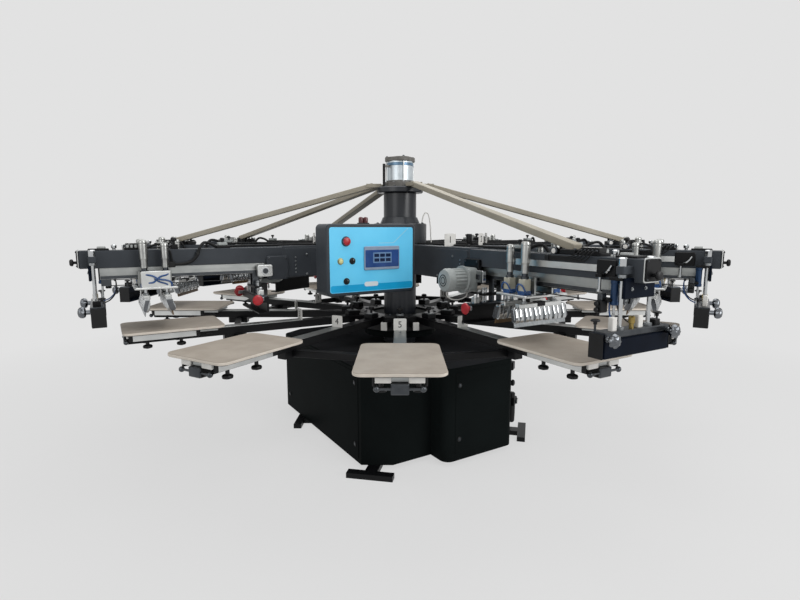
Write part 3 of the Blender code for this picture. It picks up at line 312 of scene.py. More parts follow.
def skin(rings, joined=False):
    """rings[i, j] is point j round ring i; neighbours on one ring and the next make a face.

    The first and last rings get a face each, or are joined to each other. The volume is a sixth of the
    sum of a . (b x c) over the triangles; where it is negative, the faces are turned round.
    """
    rings = np.asarray(rings, float)
    count, around = rings.shape[:2]
    here = np.arange(count if joined else count - 1)[:, None] * around
    there = (here + around) % (count * around)
    j = np.arange(around)[None, :]
    k = (j + 1) % around
    quads = np.stack([here + j, here + k, there + k, there + j], -1).reshape(-1, 4)
    cover = np.arange(around)
    ends = [] if joined else [cover[::-1], cover + (count - 1) * around]
    points = rings.reshape(-1, 3)
    fans = [np.stack([np.full(around - 2, e[0]), e[1:-1], e[2:]], -1) for e in ends]
    corners = (points - points.mean(0))[np.concatenate([quads[:, :3], quads[:, [0, 2, 3]], *fans])]
    volume = np.einsum("ij,ij->", corners[:, 0], np.cross(corners[:, 1], corners[:, 2]))
    if volume < 0:
        quads = quads[:, ::-1]
        ends = [e[::-1] for e in ends]
    return Shape(points, quads, ends, points.copy())


print("a skin over two squares has", len(skin(np.zeros((2, 4, 3))).quads), "sides")

# %% [markdown]
# Machined and folded parts are blocks, but never with knife edges: each edge is eased, which is what
# catches the light. A Bevel modifier could do it, but here the block is a rectangle with round corners,
# carried along one axis and drawn in at both ends, so that corners and ends may have radii of their own.
# A bar between any two points is the same rectangle carried along a slanted line.

# %% Blocks and bars
# Directions on a head's own axes: x leads out from the machine's axis, y along the rim, z up.
OUT, UP, DOWN = (1, 0, 0), (0, 0, 1), (0, 0, -1)
# How deep one part sits in the part that carries it, so that no gap shows between them.
SUNK = 0.001


def rounded(half_a, half_b, radius, steps=3):
    """A rectangle's outline whose corners are quarter circles about points set in by the radius."""
    angle = (np.arange(4)[:, None] + np.linspace(0, 1, steps)) * np.pi / 2
    a = np.array([1, -1, -1, 1])[:, None] * (half_a - radius) + radius * np.cos(angle)
    b = np.array([1, 1, -1, -1])[:, None] * (half_b - radius) + radius * np.sin(angle)
    return np.stack([a, b], -1).reshape(-1, 2)


def slab(low, high, edge=0.003, along=0, corner=None, steps=3):
    """A block between two corners: a rounded rectangle along one axis, its end rings drawn in."""
    low, high = np.minimum(low, high), np.maximum(low, high)
    middle, half = (low + high) / 2, (high - low) / 2
    across = [(along + 1) % 3, (along + 2) % 3]
    corner = corner or edge
    rings = np.empty((4, 4 * steps, 3))
    for ring, (inset, place) in enumerate(((edge, -1), (0, -1), (0, 1), (edge, 1))):
        outline = rounded(*(half[across] - inset), max(corner - inset, corner / 4), steps)
        rings[ring][:, across] = outline + middle[across]
        rings[ring][:, along] = middle[along] + place * (half[along] - (0 if inset else edge))
    return skin(rings)


def unit(vector):
    """A vector divided by its own length."""
    return np.asarray(vector, float) / np.linalg.norm(vector)


def bar(start, end, width, depth, edge=0.004):
    """A flat bar between two points: a rounded rectangle across the line, its width level."""
    start, end = np.asarray(start, float), np.asarray(end, float)
    way = unit(end - start)
    side = unit(np.cross(way, UP))
    up = np.cross(side, way)
    rings = []
    for inset, place in ((edge, start), (0, start + way * edge), (0, end - way * edge), (edge, end)):
        outline = rounded(width / 2 - inset, depth / 2 - inset, max(edge - inset, edge / 4))
        rings.append(place + outline[:, :1] * side + outline[:, 1:] * up)
    return skin(np.array(rings))


print("a block has", len(slab((0, 0, 0), (1, 1, 1)).points), "points")

# %% [markdown]
# Turned parts, such as cylinders, knobs and bolts, are a profile spun about a line. A Screw modifier could
# spin it; as arrays, all circles come from one product. A list of radius and distance pairs is all that a
# lathe needs, and six sides instead of many make a hexagon head.

# %% Turned parts
NEARLY_UPRIGHT, EASED_SHARE = 0.9, 0.2


def turned(profile, start, way, sides=20, hollow=False):
    """Each pair of radius and distance becomes a circle across the line from start along way.

    A hollow part's last circle is joined to its first, which leaves a bore.
    """
    way = unit(way)
    side = unit(np.cross(way, OUT if abs(way[2]) > NEARLY_UPRIGHT else UP))
    angle = np.arange(sides) * 2 * np.pi / sides
    circle = np.cos(angle)[:, None] * side + np.sin(angle)[:, None] * np.cross(way, side)
    radius, distance = np.asarray(profile, float).T
    rings = np.asarray(start) + distance[:, None, None] * way + radius[:, None, None] * circle
    return skin(rings, hollow)


def waved(shape, place, way, wave):
    """A turned shape whose distance from its axis is multiplied by a wave, point by point round it."""
    way = unit(way)
    axis = np.asarray(place) + np.outer((shape.points - place) @ way, way)
    points = axis + (shape.points - axis) * np.tile(wave, len(shape.points) // len(wave))[:, None]
    return Shape(points, shape.quads, shape.ends, points.copy())


def rod(start, end, radius, sides=14):
    """A round bar: a straight profile between two points, drawn in at both ends."""
    length = np.linalg.norm(np.subtract(end, start))
    ease = radius * EASED_SHARE
    profile = [(radius - ease, 0), (radius, ease), (radius, length - ease), (radius - ease, length)]
    return turned(profile, start, np.subtract(end, start), sides)


def disc(place, way, radius, length, sides=16):
    """A short round boss: a straight profile, drawn in at its outer rim."""
    ease = min(radius, length) * EASED_SHARE
    return turned([(radius, 0), (radius, length - ease), (radius - ease, length)], place, way, sides)


print("a round bar has", len(rod((0, 0, 0), UP, 0.01).quads), "sides")

# %% [markdown]
# Bolts, hand knobs and balls come off the same lathe. They could be taken from a library of fasteners, but
# each is one short profile, so a function with a size gives them all and keeps them light.

# %% Bolts, knobs and balls
POLE_GAP = 0.12


def bolt(place, way, size=0.008, finish=zinc):
    """A hexagon head on its washer, sized by half the width across its corners."""
    rim = [(size * 1.35, 0), (size * 1.35, size * 0.25), (size * 1.1, size * 0.3)]
    washer = turned(rim, place, way, 12)
    head = turned([(size, 0), (size, size * 0.85), (size * 0.8, size)], place, way, 6)
    return [(washer, finish), (head, finish)]


def mushroom(place, way, radius, length, finish):
    """A hand knob: a slim neck under a domed cap."""
    profile = [(radius * 0.4, 0), (radius * 0.4, length * 0.45), (radius * 0.9, length * 0.55),
               (radius, length * 0.7), (radius * 0.92, length * 0.88), (radius * 0.6, length)]
    return [(turned(profile, place, way, 16), finish)]


def ball(place, radius, finish):
    """A sphere in nine rings: radius times the sine of an angle, height times its cosine."""
    angle = np.linspace(POLE_GAP, np.pi - POLE_GAP, 9)
    profile = np.stack([radius * np.sin(angle), -radius * np.cos(angle)], -1)
    return [(turned(profile, place, UP, 16), finish)]


print("a bolt has", sum(len(shape.quads) for shape, _ in bolt((0, 0, 0), UP)), "sides")

# %% [markdown]
# Air hoses and cables follow smooth lines. A few given points are joined by a curve of cubic spans,
# whose slope at each point is half the step between its neighbours, and a circle is carried along it,
# square to the curve. A curve object with a round bevel looks alike, but it could not share a mesh with
# other shapes. Rails and channels are outlines carried straight.

# %% Hoses and straight sections
def smooth_line(points, steps=7):
    """A curve through the points: each span is the cubic with their own places and slopes at its ends."""
    p = np.asarray(points, float)
    p = np.vstack([2 * p[0] - p[1], p, 2 * p[-1] - p[-2]])
    t = np.linspace(0, 1, steps, endpoint=False)[None, :, None]
    a, b, c, d = (p[i:len(p) - 3 + i, None, :] for i in range(4))
    bent = (2 * a - 5 * b + 4 * c - d) * t**2 + (3 * b - a - 3 * c + d) * t**3
    spans = 0.5 * (2 * b + (c - a) * t + bent)
    return np.vstack([spans.reshape(-1, 3), p[-2]])


def hose(points, radius, sides=8, steps=7):
    """A circle carried along a smooth line, across its slope, turned from the plane that fits it best."""
    line = smooth_line(points, steps)
    slope = np.gradient(line, axis=0)
    slope /= np.linalg.norm(slope, axis=1)[:, None]
    flat = np.linalg.svd(line - line.mean(0))[2][2]
    side = flat - (slope @ flat)[:, None] * slope
    side /= np.linalg.norm(side, axis=1)[:, None]
    other = np.cross(slope, side)
    angle = np.arange(sides) * 2 * np.pi / sides
    circle = np.cos(angle)[None, :, None] * side[:, None] + np.sin(angle)[None, :, None] * other[:, None]
    return skin(line[:, None] + radius * circle)


def carried(outline, along, low, high):
    """A flat outline, given on the two axes that follow the chosen one in turn, carried straight."""
    outline = np.asarray(outline, float)
    rings = np.empty((2, len(outline), 3))
    rings[:, :, (along + 1) % 3] = outline[:, 0]
    rings[:, :, (along + 2) % 3] = outline[:, 1]
    rings[:, :, along] = np.array([low, high])[:, None]
    return skin(rings)


print("a hose of four points has", len(smooth_line(np.eye(3).tolist() + [[1, 1, 1]])), "rings")

# %% [markdown]
# A head is drawn once, pointing along +X, and swung round the axis to each azimuth. Objects could be
# copied and turned instead, but a finished piece sits at the origin with its place in its mesh, so the
# points themselves are turned, all at once, by one matrix.

# %% Placing
DRAWN_AZIMUTH = 90


def moved(parts, offset):
    """The same shapes shifted; their own places stay."""
    return [(Shape(s.points + np.asarray(offset), s.quads, s.ends, s.own), finish) for s, finish in parts]


def swung(parts, azimuth):
    """The same shapes turned about the upright axis from +X to an azimuth counted from -Y."""
    turn = math.radians(azimuth - DRAWN_AZIMUTH)
    c, s = math.cos(turn), math.sin(turn)
    matrix = np.array([[c, s, 0], [-s, c, 0], [0, 0, 1]])
    return [(Shape(one.points @ matrix, one.quads, one.ends, one.own), finish) for one, finish in parts]


print("heads are drawn at azimuth", DRAWN_AZIMUTH)

# %% [markdown]
# A finished piece joins its shapes into one mesh, with a material for each, and rides on the body that
# carries it. Objects could be joined by an operator, but with arrays it only takes a shift of the faces'
# numbers. Weighted normals keep flat faces flat beside their eased edges.

# %% Finished pieces
SHARP_DEGREES = 38


def piece(name, parts, body, stands_for=()):
    """One object of several shapes in their finishes, riding on a body in place of some solids."""
    finishes = list(dict.fromkeys(finish for _, finish in parts))
    starts = np.cumsum([0] + [len(shape.points) for shape, _ in parts])
    faces, marks = [], []
    for (shape, finish), start in zip(parts, starts):
        faces += (shape.quads + start).tolist() + [(end + start).tolist() for end in shape.ends]
        marks += [finishes.index(finish)] * (len(shape.quads) + len(shape.ends))
    mesh = bpy.data.meshes.new(name)
    mesh.from_pydata(np.concatenate([shape.points for shape, _ in parts]).tolist(), [], faces)
    for finish in finishes:
        mesh.materials.append(finish)
    mesh.polygons.foreach_set("material_index", marks)
    own = mesh.attributes.new("own_place", "FLOAT_VECTOR", "POINT")
    own.data.foreach_set("vector", np.concatenate([shape.own for shape, _ in parts]).ravel())
    mesh.shade_smooth()
    mesh.set_sharp_from_angle(angle=math.radians(SHARP_DEGREES))
    thing = bpy.data.objects.new(name, mesh)
    bpy.context.scene.collection.objects.link(thing)
    thing.modifiers.new("flat faces", "WEIGHTED_NORMAL").keep_sharp = True
    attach(thing, body)
    if stands_for:
        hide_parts(*stands_for)
    return thing


def counted(name):
    """How many pieces have a name that starts so, for the lesson's own record."""
    return sum(thing.name.startswith(name) for thing in bpy.data.objects)


print("edges sharper than", SHARP_DEGREES, "degrees stay sharp")

# %% [markdown]
# Heads and stations carry plain numbers. A number is a text curve made a mesh, whose points are read back
# as an array and stood up. It could be drawn as an image, but real faces stay crisp at any distance.

# %% Numbers
FIGURE_RELIEF, FIGURE_STAND, FIGURE_SHARE, PLATE_CORNER = 0.0003, 0.0004, 0.72, 0.006


def figure(text, height):
    """A number as flat raised faces: a text curve turned to a mesh, read back as arrays."""
    curve = bpy.data.curves.new("figure", "FONT")
    curve.body, curve.size, curve.extrude = text, height, FIGURE_RELIEF
    curve.align_x, curve.align_y = "CENTER", "CENTER"
    thing = bpy.data.objects.new("figure", curve)
    mesh = bpy.data.meshes.new_from_object(thing)
    points = np.empty(len(mesh.vertices) * 3)
    mesh.vertices.foreach_get("co", points)
    faces = [np.array(face.vertices) for face in mesh.polygons]
    bpy.data.objects.remove(thing)
    points = points.reshape(-1, 3)
    return Shape(points, np.empty((0, 4), int), faces, points.copy())


def numbered(text, half, low, high, thickness):
    """An upright plate across x at the axis, with its number on both faces."""
    parts = [(slab((0, -half, low), (thickness, half, high), thickness / 4, 0, PLATE_CORNER),
              white_plate)]
    flat = figure(text, (high - low) * FIGURE_SHARE)
    x, y, z = flat.points.T
    for side, face in ((1, thickness + FIGURE_STAND), (-1, -FIGURE_STAND)):
        stood = np.stack([z * side + face, x * side, y + (low + high) / 2], -1)
        parts.append((Shape(stood, flat.quads, flat.ends, flat.own), flat_black_and_shade))
    return parts


print("a figure 8 has", len(figure("8", 0.05).points), "points")

# %% [markdown]
# Each print arm is a welded box of steel, deeper at its root, where cover plates are bolted on. A plate
# with a black cover and a knob closes its outer end, and a bright strip runs along one side. On the heads
# towards the operator a number stands near the hub, facing outwards, and two of them have a tall black air
# silencer. Ten arms could be linked copies of one object, but they differ, so each is joined by itself.

# %% Print arms
ARM_LOW, ARM_HIGH, ARM_HALF, ARM_END = 1.310, 1.410, 0.050, 2.0855
ROOT_END, ROOT_HALF, ROOT_LOW, ROOT_HIGH = 0.930, 0.056, 1.210, 1.418
HUB_REACH = 0.190
NUMBER_X, NUMBER_HALF, NUMBER_HIGH, NUMBER_THICK = 0.650, 0.044, 1.500, 0.004
NUMBERED_WITHIN, SILENCER_AZIMUTH, SILENCER_X = 90, 60, 0.563
SILENCER = [(0.012, 0), (0.016, 0.002), (0.016, 0.018), (0.020, 0.021), (0.020, 0.072), (0.016, 0.078)]
SMALL_COVER_BOLTS = [(0.844, 1.241 + 0.025 * step, 0.0045) for step in range(5)]
LARGE_COVER_BOLTS = [(0.766, 1.228, 0.0065), (0.766, 1.360, 0.0065), (0.600, 1.228, 0.0065)]


def arm_parts():
    """Eased blocks for the box, its root and its covers, with bolts, a lever and a knob set on them."""
    strip = slab((1.330, -ARM_HALF - 0.005, 1.343), (1.853, -ARM_HALF + 0.002, 1.375), 0.0015)
    side_cover = slab((1.853, -ARM_HALF - 0.008, 1.325), (1.955, -ARM_HALF + 0.002, 1.400), 0.003, 1, 0.008)
    end_plate = slab((ARM_END - 0.004, -0.054, 1.312), (ARM_END + 0.001, 0.054, 1.416), 0.0015, 0, 0.010)
    end_cover = slab((ARM_END, -0.049, 1.317), (ARM_END + 0.007, 0.049, 1.411), 0.002, 0, 0.010)
    lever = [(1.900, -0.056, 1.340), (1.912, -0.066, 1.343), (1.926, -0.068, 1.356), (1.938, -0.064, 1.376)]
    parts = [(slab((HUB_REACH, -ARM_HALF, ARM_LOW), (ARM_END - 0.003, ARM_HALF, ARM_HIGH), 0.005), charcoal),
             (slab((HUB_REACH, -ROOT_HALF, ROOT_LOW), (ROOT_END, ROOT_HALF, ROOT_HIGH), 0.007), charcoal),
             (strip, milled), (side_cover, satin_black), (hose(lever, 0.0045, 8, 5), chrome),
             (end_plate, milled), (end_cover, satin_black)]
    for side in (-1, 1):
        face = side * ROOT_HALF
        proud = face + side * 0.005
        cover = slab((0.560, face - side * 0.002, 1.215), (0.918, proud, 1.404), 0.002, 1, 0.014)
        parts.append((cover, charcoal))
        for x, z, size in SMALL_COVER_BOLTS + LARGE_COVER_BOLTS:
            parts += bolt((x, proud, z), (0, side, 0), size)
    for y in (-0.040, 0.040):
        for z in (1.325, 1.403):
            parts += bolt((ARM_END + 0.007, y, z), OUT, 0.0035, gunmetal)
    parts += mushroom((ARM_END + 0.004, 0, 1.3433), OUT, 0.020, 0.038, black_plastic)
    return parts


arm = arm_parts()
on_root = ROOT_HIGH - SUNK
silencer = [(turned(SILENCER, (SILENCER_X, 0, on_root), UP), black_plastic)]
for number, azimuth in HEADS.items():
    parts = arm
    if abs(azimuth) <= NUMBERED_WITHIN:
        plate = numbered(str(int(number)), NUMBER_HALF, on_root, NUMBER_HIGH, NUMBER_THICK)
        parts = parts + moved(plate, (NUMBER_X, 0, 0))
    if abs(azimuth) == SILENCER_AZIMUTH:
        parts = parts + silencer
    piece(f"print_arm_{number}", swung(parts, azimuth), "base", ["print_spider"])
print(counted("print_arm"), "arms")

# %% [markdown]
# Under the arm hangs an aluminium rail with slots along its faces. Slots could be cut out of a block, but
# as on the real extrusion one outline carried straight has them already. A belt runs below it, round a
# pulley at the outer end, and pulls the carriage.

# %% Rails
RAIL_LOW, RAIL_HALF, RAIL_END = 1.245, 0.030, 1.9855
DRIVE_X, BELT_Z = 0.970, 1.222
SLOT = 0.008


def rail_parts():
    """A slotted outline of y and z carried along x, mirrored from its right half, with belt and pulley."""
    top = ARM_LOW + 0.002
    right = [(SLOT, RAIL_LOW), (RAIL_HALF, RAIL_LOW), (RAIL_HALF, RAIL_LOW + 0.022),
             (RAIL_HALF - SLOT, RAIL_LOW + 0.022), (RAIL_HALF - SLOT, RAIL_LOW + 0.038),
             (RAIL_HALF, RAIL_LOW + 0.038), (RAIL_HALF, top)]
    left = [(-y, z) for y, z in reversed(right)]
    outline = [(-SLOT, RAIL_LOW + SLOT), (SLOT, RAIL_LOW + SLOT)] + right + left
    pulley = [(0.012, 0), (0.0185, 0.001), (0.0185, 0.004), (0.0165, 0.005), (0.0165, 0.025),
              (0.0185, 0.026), (0.0185, 0.029), (0.012, 0.030)]
    pulley_x = RAIL_END - 0.03
    lower = slab((ROOT_END + 0.002, -RAIL_HALF - 0.0012, RAIL_LOW + 0.001),
                 (RAIL_END - 0.002, RAIL_HALF + 0.0012, RAIL_LOW + 0.019), 0.001)
    parts = [(carried(outline, 0, ROOT_END, RAIL_END), alloy), (lower, gunmetal),
             (slab((RAIL_END, -RAIL_HALF, RAIL_LOW), (RAIL_END + 0.006, RAIL_HALF, top), 0.002),
              black_plastic),
             (turned(pulley, (pulley_x, -0.015, BELT_Z), (0, 1, 0)), zinc)]
    for z in (1.203, 1.237):
        parts.append((slab((DRIVE_X, -0.011, z), (pulley_x, 0.011, z + 0.003), 0.001), rubber))
    for side in (-1, 1):
        cheek = slab((RAIL_END - 0.055, side * 0.018, 1.206), (RAIL_END - 0.004, side * 0.026, 1.249), 0.002)
        parts.append((cheek, gunmetal))
    return parts


def on_each_head(name, parts, stands_for=()):
    """A piece for each head: the same shapes, swung to the head's azimuth and fixed to the base."""
    for number, azimuth in HEADS.items():
        piece(f"{name}_{number}", swung(parts, azimuth), "base", stands_for)


on_each_head("rail", rail_parts(), ["print_spider"])
print(counted("rail"), "rails")

# %% [markdown]
# Two dark bearing plates at the arm's root hold the belt's shaft, and from one of them the motor stands out
# sideways: a gear block, a flange, a body with ribs along it for cooling, and a rounded fan cover. The ribs
# are a turned body whose radius steps down and up again round the rim, which is less work than adding each
# rib as a block.

# %% Drives
MOTOR_Z = 1.236
RIB_COUNT, RIB_STEP = 20, 0.93


def motor_parts():
    """Profiles spun about the motor's level axis; the body's radius steps down between its ribs."""
    axis = (0, -1, 0)
    flange = [(0.060, 0), (0.079, 0.001), (0.081, 0.004), (0.081, 0.012), (0.070, 0.015)]
    fan_cover = [(0.060, 0), (0.069, 0.003), (0.069, 0.030), (0.061, 0.045), (0.036, 0.052), (0.012, 0.053)]
    body = turned([(0.060, 0), (0.067, 0.003), (0.067, 0.081), (0.060, 0.084)],
                  (DRIVE_X, -0.142, MOTOR_Z), axis, 4 * RIB_COUNT)
    ribs = np.where(np.arange(4 * RIB_COUNT) % 4 < 2, 1.0, RIB_STEP)
    parts = [(slab((0.902, -0.132, 1.166), (1.038, -0.071, 1.306), 0.006, 1, 0.024, 5), motor_grey),
             (turned(flange, (DRIVE_X, -0.130, MOTOR_Z), axis, 32), motor_grey),
             (waved(body, (DRIVE_X, -0.142, MOTOR_Z), axis, ribs), motor_grey),
             (turned(fan_cover, (DRIVE_X, -0.222, MOTOR_Z), axis, 32), motor_grey)]
    for radius in (0.016, 0.030):
        ring = [(radius, 0), (radius, 0.0016), (radius + 0.005, 0.0016), (radius + 0.005, 0)]
        parts.append((turned(ring, (DRIVE_X, -0.2735, MOTOR_Z), axis, 24, hollow=True), flat_black_and_shade))
    return parts


def drive_parts():
    """The motor, its wire, two bolted bearing plates and the blocks beside them."""
    wire = [(0.985, -0.110, 1.168), (0.986, -0.118, 1.136), (0.972, -0.160, 1.118), (0.955, -0.205, 1.122),
            (0.952, -0.232, 1.145), (0.958, -0.236, 1.172)]
    parts = motor_parts() + [(hose(wire, 0.0035, 8), white_plate)]
    for side in (-1, 1):
        plate = slab((0.900, side * 0.047, 1.200), (1.040, side * 0.072, 1.354), 0.003, 1, 0.012)
        parts.append((plate, charcoal if side > 0 else satin_black))
        for x in (0.915, 1.025):
            for z in (1.214, 1.340):
                parts += bolt((x, side * 0.072, z), (0, side, 0), 0.0055, gunmetal)
    parts += [(slab((1.008, 0.046, 1.223), (1.105, 0.084, 1.298), 0.003, 1, 0.010), milled),
              (disc((1.056, 0.083, 1.260), (0, 1, 0), 0.026, 0.004, 24), chrome),
              (disc((1.056, 0.084, 1.260), (0, 1, 0), 0.018, 0.0045, 24), gunmetal),
              (slab((1.030, -0.086, 1.222), (1.098, -0.062, 1.292), 0.002, 1, 0.006), chrome),
              (slab((1.040, -0.092, 1.240), (1.070, -0.084, 1.270), 0.002, 1, 0.004), gunmetal)]
    return parts


on_each_head("drive_motor", drive_parts(), ["print_spider"])
print(counted("drive_motor"), "drives")

# %% [markdown]
# A screen is held at both ends by a channel whose mouth takes its frame. A channel could be a block with a
# groove cut out of it; here it is one outline carried along the tangent. A star knob, which tightens the
# clamp by hand, is a turned knob whose radius swells eight times on its way round.

# %% Channels and star knobs
JAW_LOW, JAW_LEDGE_TOP, JAW_LIP, JAW_HIGH = 1.000, 1.008, 1.070, 1.106
WEB_SHARE = 0.22
KNOB_SIDES, KNOB_LOBES, LOBE_SHARE = 32, 8, 0.10
LOBES = 1 + LOBE_SHARE * np.cos(KNOB_LOBES * 2 * np.pi * np.arange(KNOB_SIDES) / KNOB_SIDES)
# Darker than chrome and a little softer: the star knobs show the room as small highlights.
polished = mottled("polished_steel_knob", "75787b", "62656a", 30, 2, 0.02, (0.16, 0.26), 1.0)


def channel(face, back, half):
    """A C-shaped section of height and x, carried along y."""
    web = back + (face - back) * WEB_SHARE
    section = [(JAW_LOW, face), (JAW_LEDGE_TOP, face), (JAW_LEDGE_TOP, web), (JAW_LIP, web), (JAW_LIP, face),
               (JAW_HIGH, face), (JAW_HIGH, back), (JAW_LOW, back)]
    return carried(section, 1, -half, half)


def star_knob(place, way, radius=0.028):
    """A neck under a full, rounded head, spun and then waved by the lobes."""
    profile = [(0.012, 0), (0.012, 0.022), (radius * 0.80, 0.026), (radius * 0.98, 0.034), (radius, 0.042),
               (radius * 0.90, 0.052), (radius * 0.62, 0.059), (radius * 0.25, 0.062)]
    return [(waved(turned(profile, place, way, KNOB_SIDES), place, way, LOBES), polished)]


print("a star knob's radius swells by", LOBE_SHARE, "of itself")

# %% [markdown]
# The outer clamp hangs on two chromed rods from lugs on the arm's end: a navy channel with a dark pressure
# bar along it, a plate between the rods, and a star knob near each end. It is drawn as eased blocks and
# turned rods, since every one of its parts is a plain section.

# %% Outer clamp frames
FRONT_FACE, FRONT_BACK, FRONT_HALF = 1.9705, 2.0355, 0.220
ROD_X, ROD_Y, LUG_HALF = 2.0155, 0.095, 0.115


def front_clamp_frame():
    """Channel, plates and pressure bar across the arm; rods, caps, nuts and knobs mirrored in y."""
    outer = slab((FRONT_BACK - 0.006, -0.214, JAW_LOW), (FRONT_BACK + 0.006, 0.214, 1.078), 0.003, 0, 0.008)
    parts = [(channel(FRONT_FACE, FRONT_BACK, FRONT_HALF), navy), (outer, navy),
             (slab((FRONT_FACE + 0.004, -0.212, 1.084), (FRONT_BACK + 0.008, 0.212, 1.112), 0.004), gunmetal),
             (slab((ROD_X - 0.020, -LUG_HALF, 1.345), (ROD_X + 0.020, LUG_HALF, 1.380), 0.004), charcoal),
             (slab((ROD_X + 0.010, -0.105, 1.243), (ROD_X + 0.024, 0.095, 1.330), 0.003), navy)]
    for y in (-0.060, 0.030):
        parts += bolt((ROD_X + 0.024, y, 1.284), OUT, 0.006)
    for side in (-1, 1):
        y = side * ROD_Y
        cap = [(0.016, 0), (0.018, 0.003), (0.018, 0.034), (0.013, 0.040)]
        nut = [(0.017, 0), (0.018, 0.002), (0.018, 0.014), (0.014, 0.016)]
        parts += [(rod((ROD_X, y, JAW_HIGH), (ROD_X, y, 1.372), 0.009), chrome),
                  (turned(cap, (ROD_X, y, 1.377), UP), chrome),
                  (turned(nut, (ROD_X, y, 1.330), UP, 16), zinc),
                  (turned(nut, (ROD_X, y, 1.110), UP, 6), zinc)]
        edge = side * FRONT_HALF
        end = slab((FRONT_FACE - 0.002, edge, JAW_LOW),
                   (FRONT_BACK + 0.004, edge + side * 0.006, JAW_HIGH), 0.002)
        parts.append((end, black_plastic))
        parts += star_knob((FRONT_BACK + 0.004, side * 0.200 - 0.006, 1.086), OUT)
    return parts


print(len(front_clamp_frame()), "shapes in a clamp's frame")

# %% [markdown]
# On the jaw stand white cushion blocks, a brass latch, a small blue cylinder and a cluster of valves, and
# two thin lines come down to it from the rail. All of it is fixed to the arm, so frame and gear are one
# piece.

# %% Outer clamp gear
def front_clamp_gear():
    """Blocks and turned profiles set on the jaw; the lines, their glands and the end knobs mirrored in y."""
    cylinder = [(0.012, 0), (0.018, 0.002), (0.018, 0.016), (0.016, 0.018), (0.016, 0.092), (0.018, 0.094),
                (0.018, 0.108), (0.012, 0.110)]
    latch_bolt = [(0.010, 0), (0.010, 0.020), (0.014, 0.022), (0.014, 0.048), (0.008, 0.053)]
    parts = [(slab((2.006, -0.158, 1.110), (2.030, -0.128, 1.169), 0.003), white_plate),
             (slab((2.006, 0.012, 1.110), (2.030, 0.044, 1.166), 0.003), white_plate),
             (slab((1.990, 0.128, 1.110), (2.030, 0.165, 1.138), 0.003), satin_black),
             (turned(latch_bolt, (2.016, -0.016, 1.111), UP, 16), brass),
             (turned(cylinder, (1.978, -0.088, 1.210), UP), steel_blue),
             (slab((1.962, -0.112, 1.318), (ROD_X + 0.012, -0.084, 1.332), 0.003), satin_black),
             (rod((1.978, -0.088, 1.108), (1.978, -0.088, 1.214), 0.006), chrome),
             (slab((1.930, -0.130, 1.226), (1.980, -0.080, 1.240), 0.003), satin_black),
             (slab((1.930, -0.150, 1.178), (1.962, -0.106, 1.232), 0.004), black_plastic),
             (slab((1.934, -0.146, 1.231), (1.960, -0.112, 1.262), 0.004), gunmetal)]
    for z in (1.192, 1.218):
        parts += mushroom((1.946, -0.149, z), (0, -1, 0), 0.011, 0.018, black_plastic)
    parts += [(slab((1.868, -0.084, 1.322), (1.902, -0.046, 1.338), 0.003), satin_black),
              (rod((1.885, -0.070, 1.262), (1.885, -0.070, 1.330), 0.007), chrome),
              (disc((1.885, -0.070, 1.268), DOWN, 0.013, 0.012), chrome)]
    for side in (-1, 1):
        line = [(1.912, side * 0.021, RAIL_LOW + 0.002), (1.907, side * 0.023, 1.215),
                (1.914, side * 0.032, 1.166), (1.944, side * 0.044, 1.128), (1.990, side * 0.052, 1.108)]
        gland = turned([(0.006, 0), (0.006, 0.008), (0.005, 0.013)],
                       (1.912, side * 0.021, RAIL_LOW + 0.001), DOWN, 12)
        parts += [(hose(line, 0.0035, 8), rubber if side > 0 else blue_hose), (gland, black_plastic)]
        parts.append((rod((1.984, side * 0.208, 1.090), (1.984, side * 0.208, 1.148), 0.005, 10), gunmetal))
        parts += mushroom((1.984, side * 0.208, 1.140), UP, 0.020, 0.022, black_plastic)
    return parts


on_each_head("front_clamp", front_clamp_frame() + front_clamp_gear(), ["print_spider"])
print(counted("front_clamp"), "outer clamps")

# %% [markdown]
# The inner clamp is a slightly shorter channel on a hanger under the rail, guided by pairs of chromed rods,
# with a red knob at each end. It could be the outer clamp's mesh turned round, but it carries other gear, so
# only the channel's function is used again, with face and back the other way about.

# %% Inner screen clamps
REAR_FACE, REAR_BACK, REAR_HALF = 1.140, 1.075, 0.210
REAR_ROD_X = 1.1075


def rear_clamp_parts():
    """A channel, its pressure bar and a cross plate; hangers, rods, blocks and red knobs mirrored in y."""
    parts = [(channel(REAR_FACE, REAR_BACK, REAR_HALF), satin_black),
             (slab((REAR_BACK + 0.006, -0.195, 1.098), (REAR_FACE - 0.008, 0.195, 1.114), 0.003), gunmetal),
             (slab((1.080, -0.100, 1.152), (1.134, 0.100, 1.166), 0.003), satin_black)]
    for side in (-1, 1):
        hanger = slab((1.088, side * 0.022, JAW_HIGH), (1.128, side * 0.034, RAIL_LOW + 0.002), 0.002)
        parts.append((hanger, gunmetal))
        for y in (side * 0.070, side * 0.088):
            parts.append((rod((REAR_ROD_X, y, JAW_HIGH), (REAR_ROD_X, y, 1.188), 0.006), chrome))
            parts.append((disc((REAR_ROD_X, y, 1.186), UP, 0.009, 0.012, 12), zinc))
        parts += [(slab((1.090, side * 0.126, 1.110), (1.126, side * 0.162, 1.146), 0.004), milled),
                  (disc((1.108, side * 0.144, 1.145), UP, 0.012, 0.018), chrome),
                  (rod((1.118, side * 0.196, 1.095), (1.118, side * 0.222, 1.095), 0.012, 12), zinc),
                  (slab((1.106, side * 0.210, 1.083), (1.168, side * 0.222, 1.107), 0.004), zinc),
                  (rod((1.155, side * 0.214, 1.095), (1.155, side * 0.240, 1.095), 0.008, 12), zinc)]
        parts += mushroom((1.155, side * 0.226, 1.095), (0, side, 0), 0.033, 0.036, red_plastic)
        parts += bolt((REAR_ROD_X, side * 0.182, 1.113), UP, 0.007)
    return parts


on_each_head("rear_clamp", rear_clamp_parts(), ["print_spider"])
print(counted("rear_clamp"), "inner clamps")

